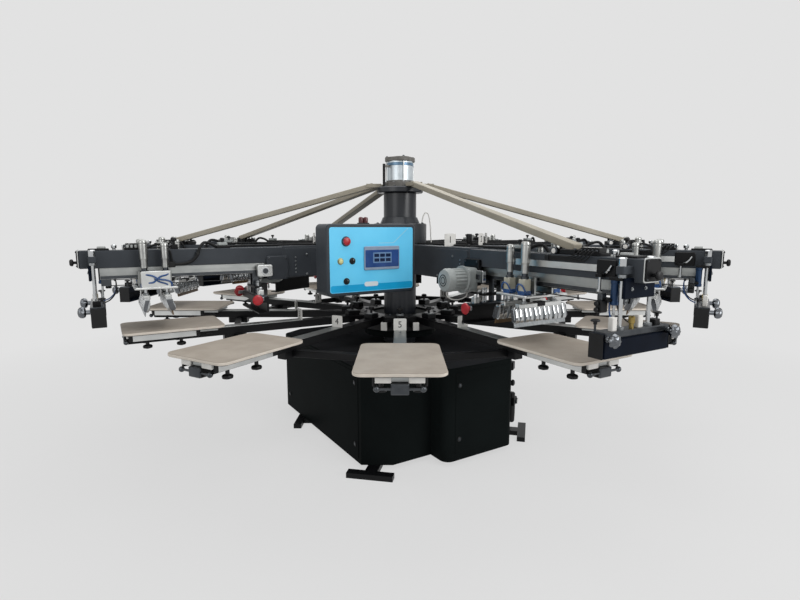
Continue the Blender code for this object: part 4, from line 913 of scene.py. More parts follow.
# %% [markdown]
# The top of each arm carries the air gear: a bank of valves with white tags, low plates and, by the strut's
# foot, a regulator with its gauge. An Array modifier could repeat the valves; a loop over their places
# also serves the lines that start from them.

# %% Air gear on the arms
VALVE_XS = [1.752 + 0.021 * step for step in range(5)]
GAUGE_X = 1.586
ON_ARM = ARM_HIGH - SUNK


def air_gear_parts():
    """Blocks on the arm's top, a set of four for each valve, and turned knobs and gauge."""
    parts = [(slab((1.735, -0.036, ON_ARM), (1.855, 0.036, 1.424), 0.003), satin_black),
             (slab((1.930, -0.038, ON_ARM), (2.035, 0.038, 1.420), 0.003), satin_black),
             (slab((1.946, -0.028, 1.419), (1.990, 0.010, 1.432), 0.003), alloy),
             (slab((1.565, -0.032, ON_ARM), (1.606, 0.032, 1.438), 0.004), satin_black),
             (slab((1.260, -0.034, ON_ARM), (1.345, 0.034, 1.428), 0.004), satin_black),
             (slab((1.275, -0.026, 1.427), (1.330, 0.026, 1.446), 0.004), motor_grey)]
    for x in VALVE_XS:
        parts += [(slab((x - 0.009, -0.034, 1.423), (x + 0.009, 0.018, 1.448), 0.002), black_plastic),
                  (slab((x - 0.007, 0.016, 1.423), (x + 0.007, 0.036, 1.440), 0.002), alloy),
                  (slab((x - 0.005, -0.026, 1.447), (x + 0.005, -0.008, 1.449), 0.0008), white_plate),
                  (rod((x, -0.034, 1.434), (x, -0.045, 1.434), 0.005, 10), gunmetal)]
    parts += [(turned([(0.008, 0), (0.008, 0.010), (0.014, 0.013), (0.015, 0.028), (0.009, 0.033)],
                      (1.905, 0, ON_ARM), UP, 16), chrome),
              (disc((GAUGE_X, -0.031, 1.426), (0, -1, 0), 0.021, 0.016, 24), gunmetal),
              (disc((GAUGE_X, -0.0465, 1.426), (0, -1, 0), 0.013, 0.001, 24), white_plate)]
    parts += mushroom((GAUGE_X, 0.006, 1.436), UP, 0.018, 0.044, black_plastic)
    parts += mushroom((1.302, 0, 1.445), UP, 0.014, 0.030, black_plastic)
    return parts


on_each_head("air_gear", air_gear_parts())
print(counted("air_gear"), "sets of air gear")

# %% [markdown]
# Dark lines join the gear. A thick cable drops over the arm's edge and ends in a gland on its side, a line
# comes out along the arm from the hub, and the valves' thin lines turn over the other edge and run side by
# side to a clip. Each is fixed to the arm at both ends, so it rides with the arm and needs no slack.

# %% Cables and air lines on the arms
LANE_HIGH, LANE_PITCH = 1.402, 0.004


def line_parts():
    """Circles carried along smooth lines through listed points; each valve's line has its own lane."""
    cable = [(1.345, 0.016, 1.420), (1.380, 0.026, 1.440), (1.420, 0.048, 1.446), (1.448, 0.062, 1.415),
             (1.465, 0.063, 1.370), (1.500, 0.062, 1.335), (1.550, 0.061, 1.322), (1.600, 0.060, 1.320)]
    loop = [(1.735, 0.020, 1.418), (1.700, 0.034, 1.436), (1.655, 0.056, 1.440), (1.620, 0.064, 1.405),
            (1.610, 0.062, 1.362), (1.606, 0.060, 1.330)]
    supply = [(1.262, 0.012, 1.420), (1.180, 0.022, 1.424), (1.000, 0.026, 1.424), (0.900, 0.028, 1.426),
              (0.700, 0.030, 1.425), (0.420, 0.048, 1.424), (0.210, 0.030, 1.424)]
    link = [(1.606, 0.008, 1.424), (1.650, 0.004, 1.4205), (1.700, -0.010, 1.4205), (1.737, -0.016, 1.418)]
    parts = [(hose(cable, 0.009, 10), rubber), (hose(loop, 0.006, 8), rubber),
             (hose(supply, 0.007, 8, 5), rubber),
             (slab((1.590, ARM_HALF - 0.002, 1.303), (1.640, 0.071, 1.338), 0.003), black_plastic),
             (slab((1.452, ARM_HALF - 0.002, 1.372), (1.472, 0.0725, 1.390), 0.002), black_plastic),
             (slab((1.548, -0.068, 1.380), (1.572, -ARM_HALF + 0.002, 1.406), 0.002), black_plastic)]
    for step, x in enumerate(VALVE_XS):
        lane = LANE_HIGH - LANE_PITCH * step
        line = [(x, -0.043, 1.434), (x - 0.003, -0.056, 1.430), (x - 0.014, -0.061, 1.416),
                (x - 0.060, -0.0605, lane), (1.640, -0.0595, lane), (1.560, -0.0590, lane - 0.002)]
        parts.append((hose(line, 0.0028, 6, 5), rubber))
    parts.append((hose(link, 0.0035, 8, 5), rubber))
    return parts


on_each_head("air_lines", line_parts())
print(counted("air_lines"), "sets of lines")

# %% [markdown]
# Air cylinders press the two bars of each head down: a slimmer pair for the squeegee, a taller, fatter pair
# for the flood bar. A cylinder could be several stacked primitives; here it is one turned profile on a
# dark neck. Short blue tubes loop round the posts that carry the cylinders.

# %% Air cylinders and their tubes
PLATE_HIGH, NECK_LOW, BARREL_LOW = 1.197, 1.277, 1.305


def air_cylinder(x, y, radius, top):
    """A dark neck, a slim foot, a wider barrel and a rounded cap, spun about an upright line."""
    neck = [(0.020, 0), (0.022, 0.002), (0.022, 0.012), (0.016, 0.015), (0.016, 0.030)]
    tall = top - BARREL_LOW
    profile = [(radius * 0.70, 0), (radius * 0.84, 0.003), (radius * 0.84, 0.048), (radius * 0.95, 0.052),
               (radius, 0.056), (radius, tall - 0.030), (radius * 0.95, tall - 0.028),
               (radius * 0.95, tall - 0.020), (radius, tall - 0.018), (radius * 0.96, tall - 0.008),
               (radius * 0.78, tall - 0.002), (radius * 0.3, tall)]
    return [(turned(neck, (x, y, NECK_LOW), UP, 20), gunmetal),
            (turned(profile, (x, y, BARREL_LOW), UP, 28), barrel)]


def post_tubes(x, y, side):
    """A fitting at a post's foot and, where no plate stands before it, a blue tube looped round it."""
    loop = [(x - 0.030, y + side * 0.010, 1.200), (x - 0.029, y + side * 0.028, 1.228),
            (x - 0.008, y + side * 0.033, 1.252), (x + 0.018, y + side * 0.033, 1.246),
            (x + 0.031, y + side * 0.026, 1.222), (x + 0.030, y + side * 0.008, 1.200)]
    fitting = slab((x - 0.025, y - 0.0235, PLATE_HIGH - SUNK), (x + 0.025, y + 0.0235, 1.218), 0.003)
    tubes = [(fitting, blue_hose)]
    if side < 0:
        tubes.append((hose(loop, 0.0046, 8, 6), blue_hose))
    return tubes


print(len(air_cylinder(0, 0, 0.02, 1.45)), "shapes in an air cylinder")

# %% [markdown]
# A carriage is a milled plate under the rail, with cheeks and slide blocks that grip it and four cream
# posts for the cylinders. Three more tubes cross in front of its side plate. It is drawn about its own
# middle and moved out to where its solid stands, because one carriage of the ten is further in.

# %% Carriages
BAR_X, BAR_ROD_Y, PLATE_LOW = 0.056, 0.105, 1.185
SQUEEGEE_BARREL, FLOOD_BARREL = (0.0210, 1.452), (0.0235, 1.470)
PLATE_TUBES = ([(0.052, 0.131, 1.270), (0.020, 0.143, 1.263), (-0.018, 0.147, 1.242), (-0.050, 0.144, 1.236),
                (-0.076, 0.141, 1.224), (-0.084, 0.131, 1.199)],
               [(0.040, 0.131, 1.222), (0.014, 0.142, 1.226), (-0.022, 0.141, 1.256), (-0.050, 0.142, 1.264),
                (-0.066, 0.131, 1.271)],
               [(0.010, 0.131, 1.246), (-0.015, 0.140, 1.228), (-0.044, 0.140, 1.217),
                (-0.060, 0.131, 1.208)])


def carriage_parts():
    """Plates and blocks about the carriage's middle; cheeks, posts and cylinders mirrored in y."""
    parts = [(slab((-0.115, -0.150, PLATE_LOW), (0.115, 0.150, PLATE_HIGH), 0.002, 2, 0.010), milled),
             (slab((-0.040, -0.020, PLATE_HIGH - SUNK), (0.040, 0.020, 1.2025), 0.001), zinc),
             (slab((-0.078, 0.1285, PLATE_HIGH - 0.002), (0.078, 0.1345, 1.289), 0.002, 1, 0.006), milled)]
    for side in (-1, 1):
        parts.append((slab((-0.090, side * 0.055, 1.195), (0.090, side * 0.067, 1.287), 0.002), alloy))
        parts.append((slab((-0.070, side * 0.0305, 1.248), (0.070, side * 0.056, 1.288), 0.002), zinc))
        for x in (-0.070, 0.070):
            parts += bolt((x, side * 0.067, 1.270), (0, side, 0), 0.005)
        for x, (radius, top) in ((-BAR_X, SQUEEGEE_BARREL), (BAR_X, FLOOD_BARREL)):
            y = side * BAR_ROD_Y
            post = slab((x - 0.022, y - 0.022, PLATE_HIGH - 0.002), (x + 0.022, y + 0.022, 1.279), 0.003, 2)
            parts.append((post, cream))
            parts += air_cylinder(x, y, radius, top) + post_tubes(x, y, side)
    for tube in PLATE_TUBES:
        parts.append((hose(tube, 0.005, 8, 6), blue_hose))
    for y in (-0.085, 0.0, 0.085):
        for x in (-0.095, 0.095):
            parts += bolt((x, y, PLATE_HIGH), UP, 0.006)
    return parts


carriage = carriage_parts()
for number, azimuth in HEADS.items():
    reach = np.hypot(*middle_of(f"carriage_{number}")[:2])
    piece(f"carriage_dress_{number}", swung(moved(carriage, (reach, 0, 0)), azimuth), f"carriage_{number}",
          [f"carriage_{number}"])
print(counted("carriage_dress"), "carriages")

# %% [markdown]
# The squeegee pushes ink through the screen and the flood bar spreads it back. Each is a blade in a
# slanted holder with a row of bowed chromed clamps along it, hung from a yoke on two chromed rods.
# The two lean apart at the bottom, so one function draws both, with its lean, its widths and its blade.

# %% Squeegees and flood bars
YOKE_LOW, YOKE_HIGH = 1.127, 1.152
HOLDER_LOW, BLADE_LOW = 1.062, 1.035
FIN_LOW, FIN_HIGH = 1.058, 1.137
BAR_HALF, CLAMP_COUNT, CLAMP_PITCH, CLAMP_HALF = 0.185, 11, 0.0335, 0.0125
SLIM_CLAMP, FULL_CLAMP, TIP_LEAN = 0.006, 0.012, 1.35


def clamp(y, lean, half):
    """A bowed block: rings of a rounded outline from foot to head, fullest a third of the way up."""
    share = np.array([0.0, 0.04, 0.18, 0.36, 0.58, 0.80, 0.96, 1.0])[:, None]
    swell = np.array([0.55, 0.72, 0.94, 1.0, 0.90, 0.74, 0.66, 0.55])[:, None]
    outline = rounded(half, CLAMP_HALF, 0.005)
    middle = lean * (1 - share)
    height = np.broadcast_to(FIN_LOW + (FIN_HIGH - FIN_LOW) * share, (len(share), len(outline)))
    across = np.broadcast_to(y + outline[:, 1], (len(share), len(outline)))
    return skin(np.stack([middle + outline[:, 0] * swell, across, height], -1))


def print_bar_parts(lean, half_holder, half_blade, blade_finish):
    """Sections of height and x carried along y; lean is how far the holder's foot is from its head."""
    holder = [(YOKE_LOW, -half_holder), (HOLDER_LOW + 0.012, lean - half_holder),
              (HOLDER_LOW, lean - half_blade * 1.8), (HOLDER_LOW, lean + half_blade * 1.8),
              (HOLDER_LOW + 0.012, lean + half_holder), (YOKE_LOW, half_holder)]
    tip = lean * TIP_LEAN
    blade = [(HOLDER_LOW + 0.002, lean - half_blade), (BLADE_LOW, tip - half_blade * 0.8),
             (BLADE_LOW, tip + half_blade * 0.8), (HOLDER_LOW + 0.002, lean + half_blade)]
    parts = [(slab((-0.018, -0.150, YOKE_LOW), (0.018, 0.150, YOKE_HIGH), 0.003), milled),
             (carried(holder, 1, -BAR_HALF, BAR_HALF), zinc),
             (carried(blade, 1, -BAR_HALF + 0.003, BAR_HALF - 0.003), blade_finish)]
    for step in range(CLAMP_COUNT):
        y = (step - (CLAMP_COUNT - 1) / 2) * CLAMP_PITCH
        parts.append((clamp(y, lean, half_holder + (SLIM_CLAMP if step % 2 else FULL_CLAMP)), chrome))
    for side in (-1, 1):
        y = side * BAR_ROD_Y
        nut = [(0.015, 0), (0.016, 0.002), (0.016, 0.010), (0.013, 0.012)]
        cheek = [(z, x * 1.15 + lean * 0.05) for z, x in holder]
        parts += [(rod((0, y, YOKE_HIGH - 0.002), (0, y, 1.262), 0.009), chrome),
                  (turned(nut, (0, y, YOKE_HIGH - SUNK), UP, 16), zinc),
                  (carried(cheek, 1, side * BAR_HALF, side * (BAR_HALF + 0.004)), polished)]
    block = slab((-0.019, -0.030, YOKE_LOW + 0.004), (0.019, 0.030, YOKE_HIGH + 0.006), 0.003)
    return parts + [(block, satin_black)]


squeegee = print_bar_parts(-0.014, 0.014, 0.0045, amber)
flood = print_bar_parts(0.012, 0.009, 0.0020, zinc)
for number, azimuth in HEADS.items():
    for name, parts in (("squeegee", squeegee), ("flood_bar", flood)):
        node = f"{name}_{number}"
        reach = np.hypot(*middle_of(node)[:2])
        placed = swung(moved(parts, (reach, 0, 0)), azimuth)
        piece(f"{name}_dress_{number}", placed, node, [node])
print(counted("squeegee_dress") + counted("flood_bar_dress"), "print bars")

# %% [markdown]
# The column rises through the machine. A drum round it gathers the arms, with a flat shoulder and a small
# collar above them. Both are turned profiles in polished enamel; a hollow profile is closed on itself, so
# that the drum keeps its bore. One thin cable loops from the shoulder to the arm at the operator's right.

# %% Column and hub
COLUMN_RADIUS, COLUMN_FOOT, COLUMN_TOP = 0.1225, 0.036, 1.7925
HUB_RADIUS = 0.200
CABLE_AZIMUTH = 90
ORIGIN = (0, 0, 0)


def on_axis(profile, sides, hollow=False):
    """Pairs of radius and height, spun about the machine's own axis."""
    return turned(profile, ORIGIN, UP, sides, hollow)


def bolt_circle(reach, height, size):
    """Dark bolts at a distance from the axis, half way between the steps of the clock."""
    parts = []
    for step in range(360 // STEP_DEGREES):
        parts += swung(bolt((reach, 0, height), UP, size, gunmetal), STEP_DEGREES * (step + 0.5))
    return parts


column_profile = [(COLUMN_RADIUS - 0.004, COLUMN_FOOT), (COLUMN_RADIUS, COLUMN_FOOT + 0.004),
                  (COLUMN_RADIUS, COLUMN_TOP - 0.004), (COLUMN_RADIUS - 0.004, COLUMN_TOP)]
column_tube = [(on_axis(column_profile, 64), column_black)]
piece("column_tube", column_tube, "base", ["column"])

hub_profile = [(0.1230, 1.198), (0.192, 1.198), (HUB_RADIUS, 1.206), (HUB_RADIUS, 1.562), (0.194, 1.569),
               (0.150, 1.571), (0.142, 1.588), (0.131, 1.614), (0.1235, 1.616)]
hub = [(on_axis(hub_profile, 64, hollow=True), column_black)] + bolt_circle(0.174, 1.5695, 0.007)
hub_cable = [(0.166, 0, 1.568), (0.172, 0, 1.610), (0.190, 0.002, 1.648), (0.214, 0.004, 1.636),
             (0.228, 0.004, 1.570), (0.234, 0.002, 1.480), (0.238, 0, 1.416)]
hub += swung([(hose(hub_cable, 0.0045, 8), white_plate)], CABLE_AZIMUTH)
piece("arm_hub", hub, "base", ["print_spider"])
print(counted("column") + counted("arm_hub"), "pieces on the axis")

# %% [markdown]
# Seven flat tubes run down from a flange on the column to feet on the arms and hold up their ends. Each
# rests on a bracket at the flange, where its open end shows dark, and on a dark block at its foot. The end
# could be hollowed out, but from a few paces a short black bar, set a hair proud, looks the same: it is
# painted shade for the inside of the open tube. One function for a bar between two points draws both.

# %% Crown and struts
STRUT_AZIMUTHS = (30, 90, 120, 180, -150, -120, -90)
CROWN_LOW, CROWN_HIGH = 1.793, 1.835
STRUT_TOP, STRUT_FOOT = np.array([0.200, 0, 1.8500]), np.array([1.660, 0, 1.4523])
STRUT_WIDTH, STRUT_DEPTH, TUBE_WALL = 0.065, 0.036, 0.005
WING_INNER, WING_OUTER, WING_LOW, WING_HIGH = 0.0335, 0.0385, 1.8360, 1.8600


def strut_parts():
    """A flat bar down the slanted line, a black end as painted shade, and plates, wings and bolts at both
    ends.
    """
    down = unit(STRUT_FOOT - STRUT_TOP)
    # A black bar in the tube's mouth: painted shade for the inside of the open tube.
    shaded_opening = bar(STRUT_TOP - down * 0.0006, STRUT_TOP + down * 0.010, STRUT_WIDTH - 2 * TUBE_WALL,
                  STRUT_DEPTH - 2 * TUBE_WALL, 0.0004)
    parts = [(bar(STRUT_TOP, STRUT_FOOT + down * 0.034, STRUT_WIDTH, STRUT_DEPTH, 0.005), khaki),
             (shaded_opening, flat_black_and_shade),
             (slab((1.612, -0.036, 1.4103), (1.708, 0.036, 1.4360), 0.003, 2, 0.006), satin_black),
             (slab((0.125, -0.034, CROWN_HIGH - 0.002), (0.225, 0.034, CROWN_HIGH + 0.006), 0.002), khaki),
             (slab((0.140, -0.034, CROWN_HIGH), (0.148, 0.034, 1.862), 0.002), khaki)]
    for side in (-1, 1):
        inner, outer = side * WING_INNER, side * WING_OUTER
        wing = [(inner, WING_LOW), (outer, WING_LOW), (outer, WING_HIGH), (inner, WING_HIGH)]
        parts.append((carried(wing, 0, 0.146, 0.250), khaki))
        parts += bolt((0.168, side * 0.018, CROWN_HIGH + 0.006), UP, 0.008, gunmetal)
        parts += bolt((1.700, side * 0.024, 1.4360), UP, 0.006, gunmetal)
    return parts


struts = strut_parts()
flange_profile = [(0.030, CROWN_LOW), (0.166, CROWN_LOW), (0.172, CROWN_LOW + 0.006),
                  (0.172, CROWN_HIGH - 0.006), (0.166, CROWN_HIGH), (0.030, CROWN_HIGH)]
crown = [(on_axis(flange_profile, 56, hollow=True), column_black)] + bolt_circle(0.146, CROWN_HIGH, 0.008)
piece("crown_flange", crown, "base", ["strut_crown"])
for number, azimuth in enumerate(STRUT_AZIMUTHS, start=1):
    piece(f"strut_{number:02d}", swung(struts, azimuth), "base", ["strut_crown"])
print(counted("strut_0"), "struts")

# %% [markdown]
# The lift cylinder stands on the flange: a pale honed barrel between two cast caps drawn together by tie
# rods, with a grey-blue seal ring and an air pipe beside it. A cap could be a disc with four ears added to
# it; here it is a turned block whose radius swells four times round, so that a lobe takes each tie rod.

# %% Lift cylinder
# Sand-cast aluminium, sprayed grey-brown: rough, with small pits.
cast_cap = mottled("sprayed_sand_casting", "74726e", "5e5c58", 25, 3, 0.18, (0.42, 0.58), mirror=0.35)
# Paler and softer than the small barrels: one broad highlight that fades to the sides.
honed = mottled("honed_aluminium_tube", "d3dade", "c0c9ce", 40, 2, 0.03, (0.34, 0.46), 1.0, (1, 1, 0.05))
# Grey-blue metal with a soft shine, for the seal ring.
seal_blue = mottled("grey_blue_anodised_ring", "6b89a2", "58738b", 30, 2, 0.02, (0.28, 0.40), 0.6)
ROD_AZIMUTHS = (15, 105, 195, 285)
CAP_SIDES, CAP_SWELL = 64, 0.085
past_rod = np.arange(CAP_SIDES) * 2 * np.pi / CAP_SIDES - math.radians(ROD_AZIMUTHS[0])
CAP_LOBES = 1 + CAP_SWELL * np.cos(len(ROD_AZIMUTHS) * past_rod)
lift = [(on_axis([(0.095, 1.870), (0.095, 2.022)], 56), honed)]
for low, high in ((1.8355, 1.8733), (2.0203, 2.0520)):
    cap = on_axis([(0.102, low), (0.105, low + 0.003), (0.105, high - 0.003), (0.102, high)], CAP_SIDES)
    lift.append((waved(cap, ORIGIN, UP, CAP_LOBES), cast_cap))
for low, high, finish in ((1.989, 2.011, seal_blue), (1.873, 1.884, cast_cap)):
    ring = [(0.0952, low), (0.098, low + 0.002), (0.098, high - 0.002), (0.0952, high)]
    lift.append((on_axis(ring, 56), finish))
for azimuth in ROD_AZIMUTHS:
    lift += swung([(rod((0.105, 0, 1.870), (0.105, 0, 2.023), 0.0042), milled),
                   (turned([(0.008, 0), (0.008, 0.010)], (0.105, 0, 1.873), UP, 6), chrome)], azimuth)
    lift += swung(bolt((0.100, 0, 2.0515), UP, 0.008, gunmetal), azimuth)
lift += [(rod((-0.117, -0.076, 1.834), (-0.117, -0.076, 2.000), 0.010), satin_black),
         (bar((-0.074, -0.048, 1.985), (-0.117, -0.076, 1.985), 0.018, 0.018, 0.003), cast_cap)]
piece("lift_cylinder_dress", lift, "base", ["lift_cylinder"])
print(len(lift), "shapes in the lift cylinder")

# %% [markdown]
# The pallet wheel: twelve box arms from a hub, tied by a rim of straight tubes. The rim is a rectangle
# carried round the twelve corners of a polygon and joined to itself; its corners' rings are mitred by the
# polygon's half angle. Between the arms white targets stand out from the hub on short brackets, for the
# sensor that stops the wheel, and a centring block stands on each arm.

# %% Wheel
WHEEL_LOW, WHEEL_HIGH, WHEEL_ARM_LOW = 0.7953, 0.905, 0.855
RIM_REACH, RIM_HALF = 1.250, 0.020


def rim():
    """A rounded rectangle at each corner of the polygon, stretched outwards by one over its cosine."""
    mitre = 1 / math.cos(math.pi / len(STATIONS))
    outline = rounded(RIM_HALF, 0.021, 0.006)
    angle = np.radians(np.array(sorted(STATIONS.values())) - DRAWN_AZIMUTH)[:, None]
    reach = RIM_REACH + outline[:, 0] * mitre
    height = np.broadcast_to(WHEEL_ARM_LOW - 0.018 + outline[:, 1], (len(angle), len(outline)))
    return skin(np.stack([reach * np.cos(angle), reach * np.sin(angle), height], -1), joined=True)


def wheel_arm_parts():
    """Eased blocks for the arm, its centring block and the lug under the rim, with a hand knob."""
    parts = [(slab((0.300, -0.038, WHEEL_ARM_LOW), (1.886, 0.038, WHEEL_HIGH), 0.004), satin_black),
             (slab((0.360, -0.032, WHEEL_HIGH - SUNK), (0.450, 0.032, 0.938), 0.004), satin_black),
             (slab((0.372, -0.024, 0.937), (0.438, 0.024, 0.944), 0.002), zinc),
             (slab((1.180, -0.030, 0.812), (1.320, 0.030, WHEEL_ARM_LOW + 0.002), 0.003), satin_black)]
    parts += mushroom((0.405, 0, 0.943), UP, 0.022, 0.044, black_plastic)
    return parts


wheel_profile = [(0.2105, WHEEL_LOW), (0.304, WHEEL_LOW), (0.310, WHEEL_LOW + 0.006), (0.310, 0.900),
                 (0.304, 0.907), (0.2105, 0.907)]
wheel = [(on_axis(wheel_profile, 64, hollow=True), satin_black), (rim(), satin_black)]
wheel_arm = wheel_arm_parts()
target = [(slab((0.305, -0.012, 0.830), (0.430, 0.012, 0.870), 0.003), satin_black),
          (slab((0.428, -0.022, 0.828), (0.434, 0.022, 0.886), 0.0015, 0, 0.004), white_plate)]
for azimuth in STATIONS.values():
    wheel += swung(wheel_arm, azimuth)
    between = bolt((0.270, 0, 0.907), UP, 0.010, gunmetal) + target
    wheel += swung(between, azimuth + STEP_DEGREES / 2)
piece("pallet_wheel", wheel, "carousel", ["pallet_spider"])
print("the wheel has", sum(len(shape.quads) for shape, _ in wheel), "faces")

# %% [markdown]
# A pallet is a flat board with round corners, coated on top. Its edge is pale, partly by its own colour and
# partly as a painted highlight of its lit sides, and a black layer under it is painted shade. It sits on a
# saddle with light side rails that slides on the arm's end and is locked by a lever under the front edge,
# whose ends are balls. Each station has a numbered plate, and a bright metal strip lies on the arm from
# there to the saddle: a painted reflection of the arm's glossy top. The board's tones could be painted on
# one block, but three layers of one plan, each drawn in by its own inset, give the pale edge a true line.

# %% Pallets, saddles and station plates
PALLET_INNER, PALLET_OUTER, PALLET_HALF = 1.340, 1.900, 0.200
PALLET_LOW, PALLET_HIGH, PALLET_CORNER = 0.930, 0.950, 0.045
BOARD_LOW, UNDER_INSET, COAT_INSET = 0.9345, 0.012, 0.0012
TAG_X, TAG_LOW, TAG_HIGH = 0.800, 0.905, 0.982
PALLET_KNOB = [(0.010, 0), (0.010, 0.050), (0.024, 0.056), (0.027, 0.062), (0.025, 0.071), (0.010, 0.076)]
KNOB_WASHER = [(0.014, 0), (0.014, 0.008)]


def board(inset, low, high, edge):
    """The pallet's plan, drawn in by an inset, between two heights."""
    half = PALLET_HALF - inset
    return slab((PALLET_INNER + inset, -half, low), (PALLET_OUTER - inset, half, high), edge, 2,
                PALLET_CORNER - inset, 9)


def saddle_parts():
    """Eased blocks and a lever rod under the pallet; side rails, balls and knobs mirrored in y."""
    parts = [(slab((1.370, -0.105, 0.904), (1.870, 0.105, 0.9297), 0.003), alloy),
             (slab((1.838, -0.038, 0.856), (1.893, 0.038, 0.904), 0.004), gunmetal),
             (rod((1.882, -0.098, 0.880), (1.882, 0.098, 0.880), 0.006), gunmetal),
             (slab((1.400, -0.085, 0.884), (1.440, 0.085, 0.906), 0.003), satin_black)]
    for side in (-1, 1):
        parts += ball((1.882, side * 0.097, 0.880), 0.014, gunmetal)
        parts += [(slab((1.868, side * 0.036, 0.902), (1.878, side * 0.104, 0.9295), 0.002), white_plate),
                  (slab((1.500, side * 0.104, 0.884), (1.848, side * 0.115, 0.928), 0.002), milled),
                  (slab((1.478, side * 0.103, 0.886), (1.502, side * 0.116, 0.926), 0.003), black_plastic),
                  (slab((1.846, side * 0.103, 0.886), (1.868, side * 0.116, 0.926), 0.003), black_plastic)]
        for x in (1.585, 1.770):
            parts.append((turned(PALLET_KNOB, (x, side * 0.082, 0.906), DOWN, 24), black_plastic))
            parts.append((turned(KNOB_WASHER, (x, side * 0.082, 0.904), DOWN, 14), zinc))
    return parts


def plate_parts(number):
    """The numbered plate, the bright strip from it to the saddle, a painted reflection, and the strip's bolt.
    """
    plate = moved(numbered(str(int(number)), 0.040, TAG_LOW, TAG_HIGH, 0.006), (TAG_X, 0, 0))
    # A bright metal strip on the arm's top: painted reflection of the arm's glossy top.
    reflection_strip = slab((TAG_X + 0.004, -0.036, WHEEL_HIGH - SUNK), (1.372, 0.036, 0.909), 0.0015)
    return plate + [(reflection_strip, alloy)] + bolt((0.870, 0, 0.909), UP, 0.006)


saddle = saddle_parts()
# The black layer under the board is painted shade; the pale edge is partly a painted highlight.
pallet = [(board(UNDER_INSET, PALLET_LOW, BOARD_LOW + 0.001, 0.001), flat_black_and_shade),
          (board(0.0, BOARD_LOW, PALLET_HIGH - 0.0004, 0.003), pallet_edge_and_highlight),
          (board(COAT_INSET, PALLET_HIGH - 0.003, PALLET_HIGH + 0.0004, 0.0012), pallet_coat)]
for number, azimuth in STATIONS.items():
    piece(f"pallet_board_{number}", swung(pallet, azimuth), "carousel",
          [f"pallet_{number}"])
    piece(f"pallet_saddle_{number}", swung(saddle, azimuth), "carousel",
          ["pallet_spider"])
    piece(f"station_plate_{number}", swung(plate_parts(number), azimuth), "carousel",
          ["pallet_spider"])
print(counted("pallet_board"), "pallets,", counted("station_plate"), "station plates")

# %% [markdown]
# The base is a skirt of folded sheet in black enamel, oblong with cut corners, with a cabinet standing
# out at the front. Its plan is one outline; the sheet runs from the inner ceiling down, out under its own
# foot and up to the roof, so it is hollow as the real one is. Legs and cross feet show below.

# %% Base skirt
BASE_AZIMUTH = 32
SKIRT_LOW, SKIRT_HIGH, SKIRT_WALL = 0.0345, 0.655, 0.005
SKIRT_FRONT, SKIRT_BACK, SKIRT_SIDE = 0.675, -0.900, 0.645
CUT_LENGTH, CUT_WIDTH = 0.110, 0.170
CABINET_FRONT, CABINET_LEFT, CABINET_RIGHT, CABINET_ROUND = 0.840, -0.180, 0.410, 0.060


def arc(centre, radius, first, last, steps=8):
    """Points on a circle between two angles in degrees."""
    angle = np.radians(np.linspace(first, last, steps))
    return [(centre[0] + radius * math.cos(a), centre[1] + radius * math.sin(a)) for a in angle]


def skirt_plan():
    """The plan's corners in turn, with arcs at the cabinet's two corners."""
    r = CABINET_ROUND
    return np.array([(SKIRT_FRONT, CUT_WIDTH - SKIRT_SIDE), (SKIRT_FRONT, CABINET_LEFT)]
                    + arc((CABINET_FRONT - r, CABINET_LEFT + r), r, -90, 0)
                    + arc((CABINET_FRONT - r, CABINET_RIGHT - r), r, 0, 90)
                    + [(SKIRT_FRONT, CABINET_RIGHT), (SKIRT_FRONT, SKIRT_SIDE - CUT_WIDTH),
                       (SKIRT_FRONT - CUT_LENGTH, SKIRT_SIDE), (SKIRT_BACK + CUT_LENGTH, SKIRT_SIDE),
                       (SKIRT_BACK, SKIRT_SIDE - CUT_WIDTH), (SKIRT_BACK, CUT_WIDTH - SKIRT_SIDE),
                       (SKIRT_BACK + CUT_LENGTH, -SKIRT_SIDE), (SKIRT_FRONT - CUT_LENGTH, -SKIRT_SIDE)])


def drawn_in(outline, depth):
    """Each point moved along the sum of its two edges' inward normals, over one plus their cosine."""
    edge = np.roll(outline, -1, 0) - outline
    normal = np.stack([-edge[:, 1], edge[:, 0]], -1) / np.linalg.norm(edge, axis=1)[:, None]
    before = np.roll(normal, 1, 0)
    share = 1 + (normal * before).sum(1)
    return outline + depth * (normal + before) / share[:, None]


def skirt_shape():
    """The plan at the inner ceiling, the inner foot, the outer foot, the top edge and the roof."""
    plan = skirt_plan()
    levels = ((SKIRT_HIGH - SKIRT_WALL, SKIRT_WALL), (SKIRT_LOW, SKIRT_WALL), (SKIRT_LOW, 0),
              (SKIRT_HIGH - 0.006, 0), (SKIRT_HIGH, 0.006))
    return skin([np.column_stack([drawn_in(plan, inset), np.full(len(plan), z)]) for z, inset in levels])


print("the skirt's plan has", len(skirt_plan()), "corners")

# %% [markdown]
# Covers close the skirt's faces, each held by quarter-turn locks, with cooling slots at the back. The roof
# is a matt sheet with a collar round the column. The covers could be scored into the sheet, but thin slabs
# a few millimetres proud catch the light at their edges, as the real ones do.

# %% Covers and roof
ROOF_INSET, ROOF_HIGH = 0.008, 0.657
COVER_PROUD = 0.003
SIDE_LATCHES = ((0.490, 0.560), (0.490, 0.150), (-0.710, 0.560), (-0.710, 0.150))
BACK_SLOTS = [0.250 + 0.022 * step for step in range(9)]


def latch(place, way):
    """A quarter-turn lock: a collar and a slotted barrel."""
    return [(turned([(0.016, 0), (0.016, 0.003), (0.013, 0.005), (0.010, 0.003)], place, way), black_plastic),
            (turned([(0.009, 0), (0.009, 0.005), (0.007, 0.006)], place, way), gunmetal)]


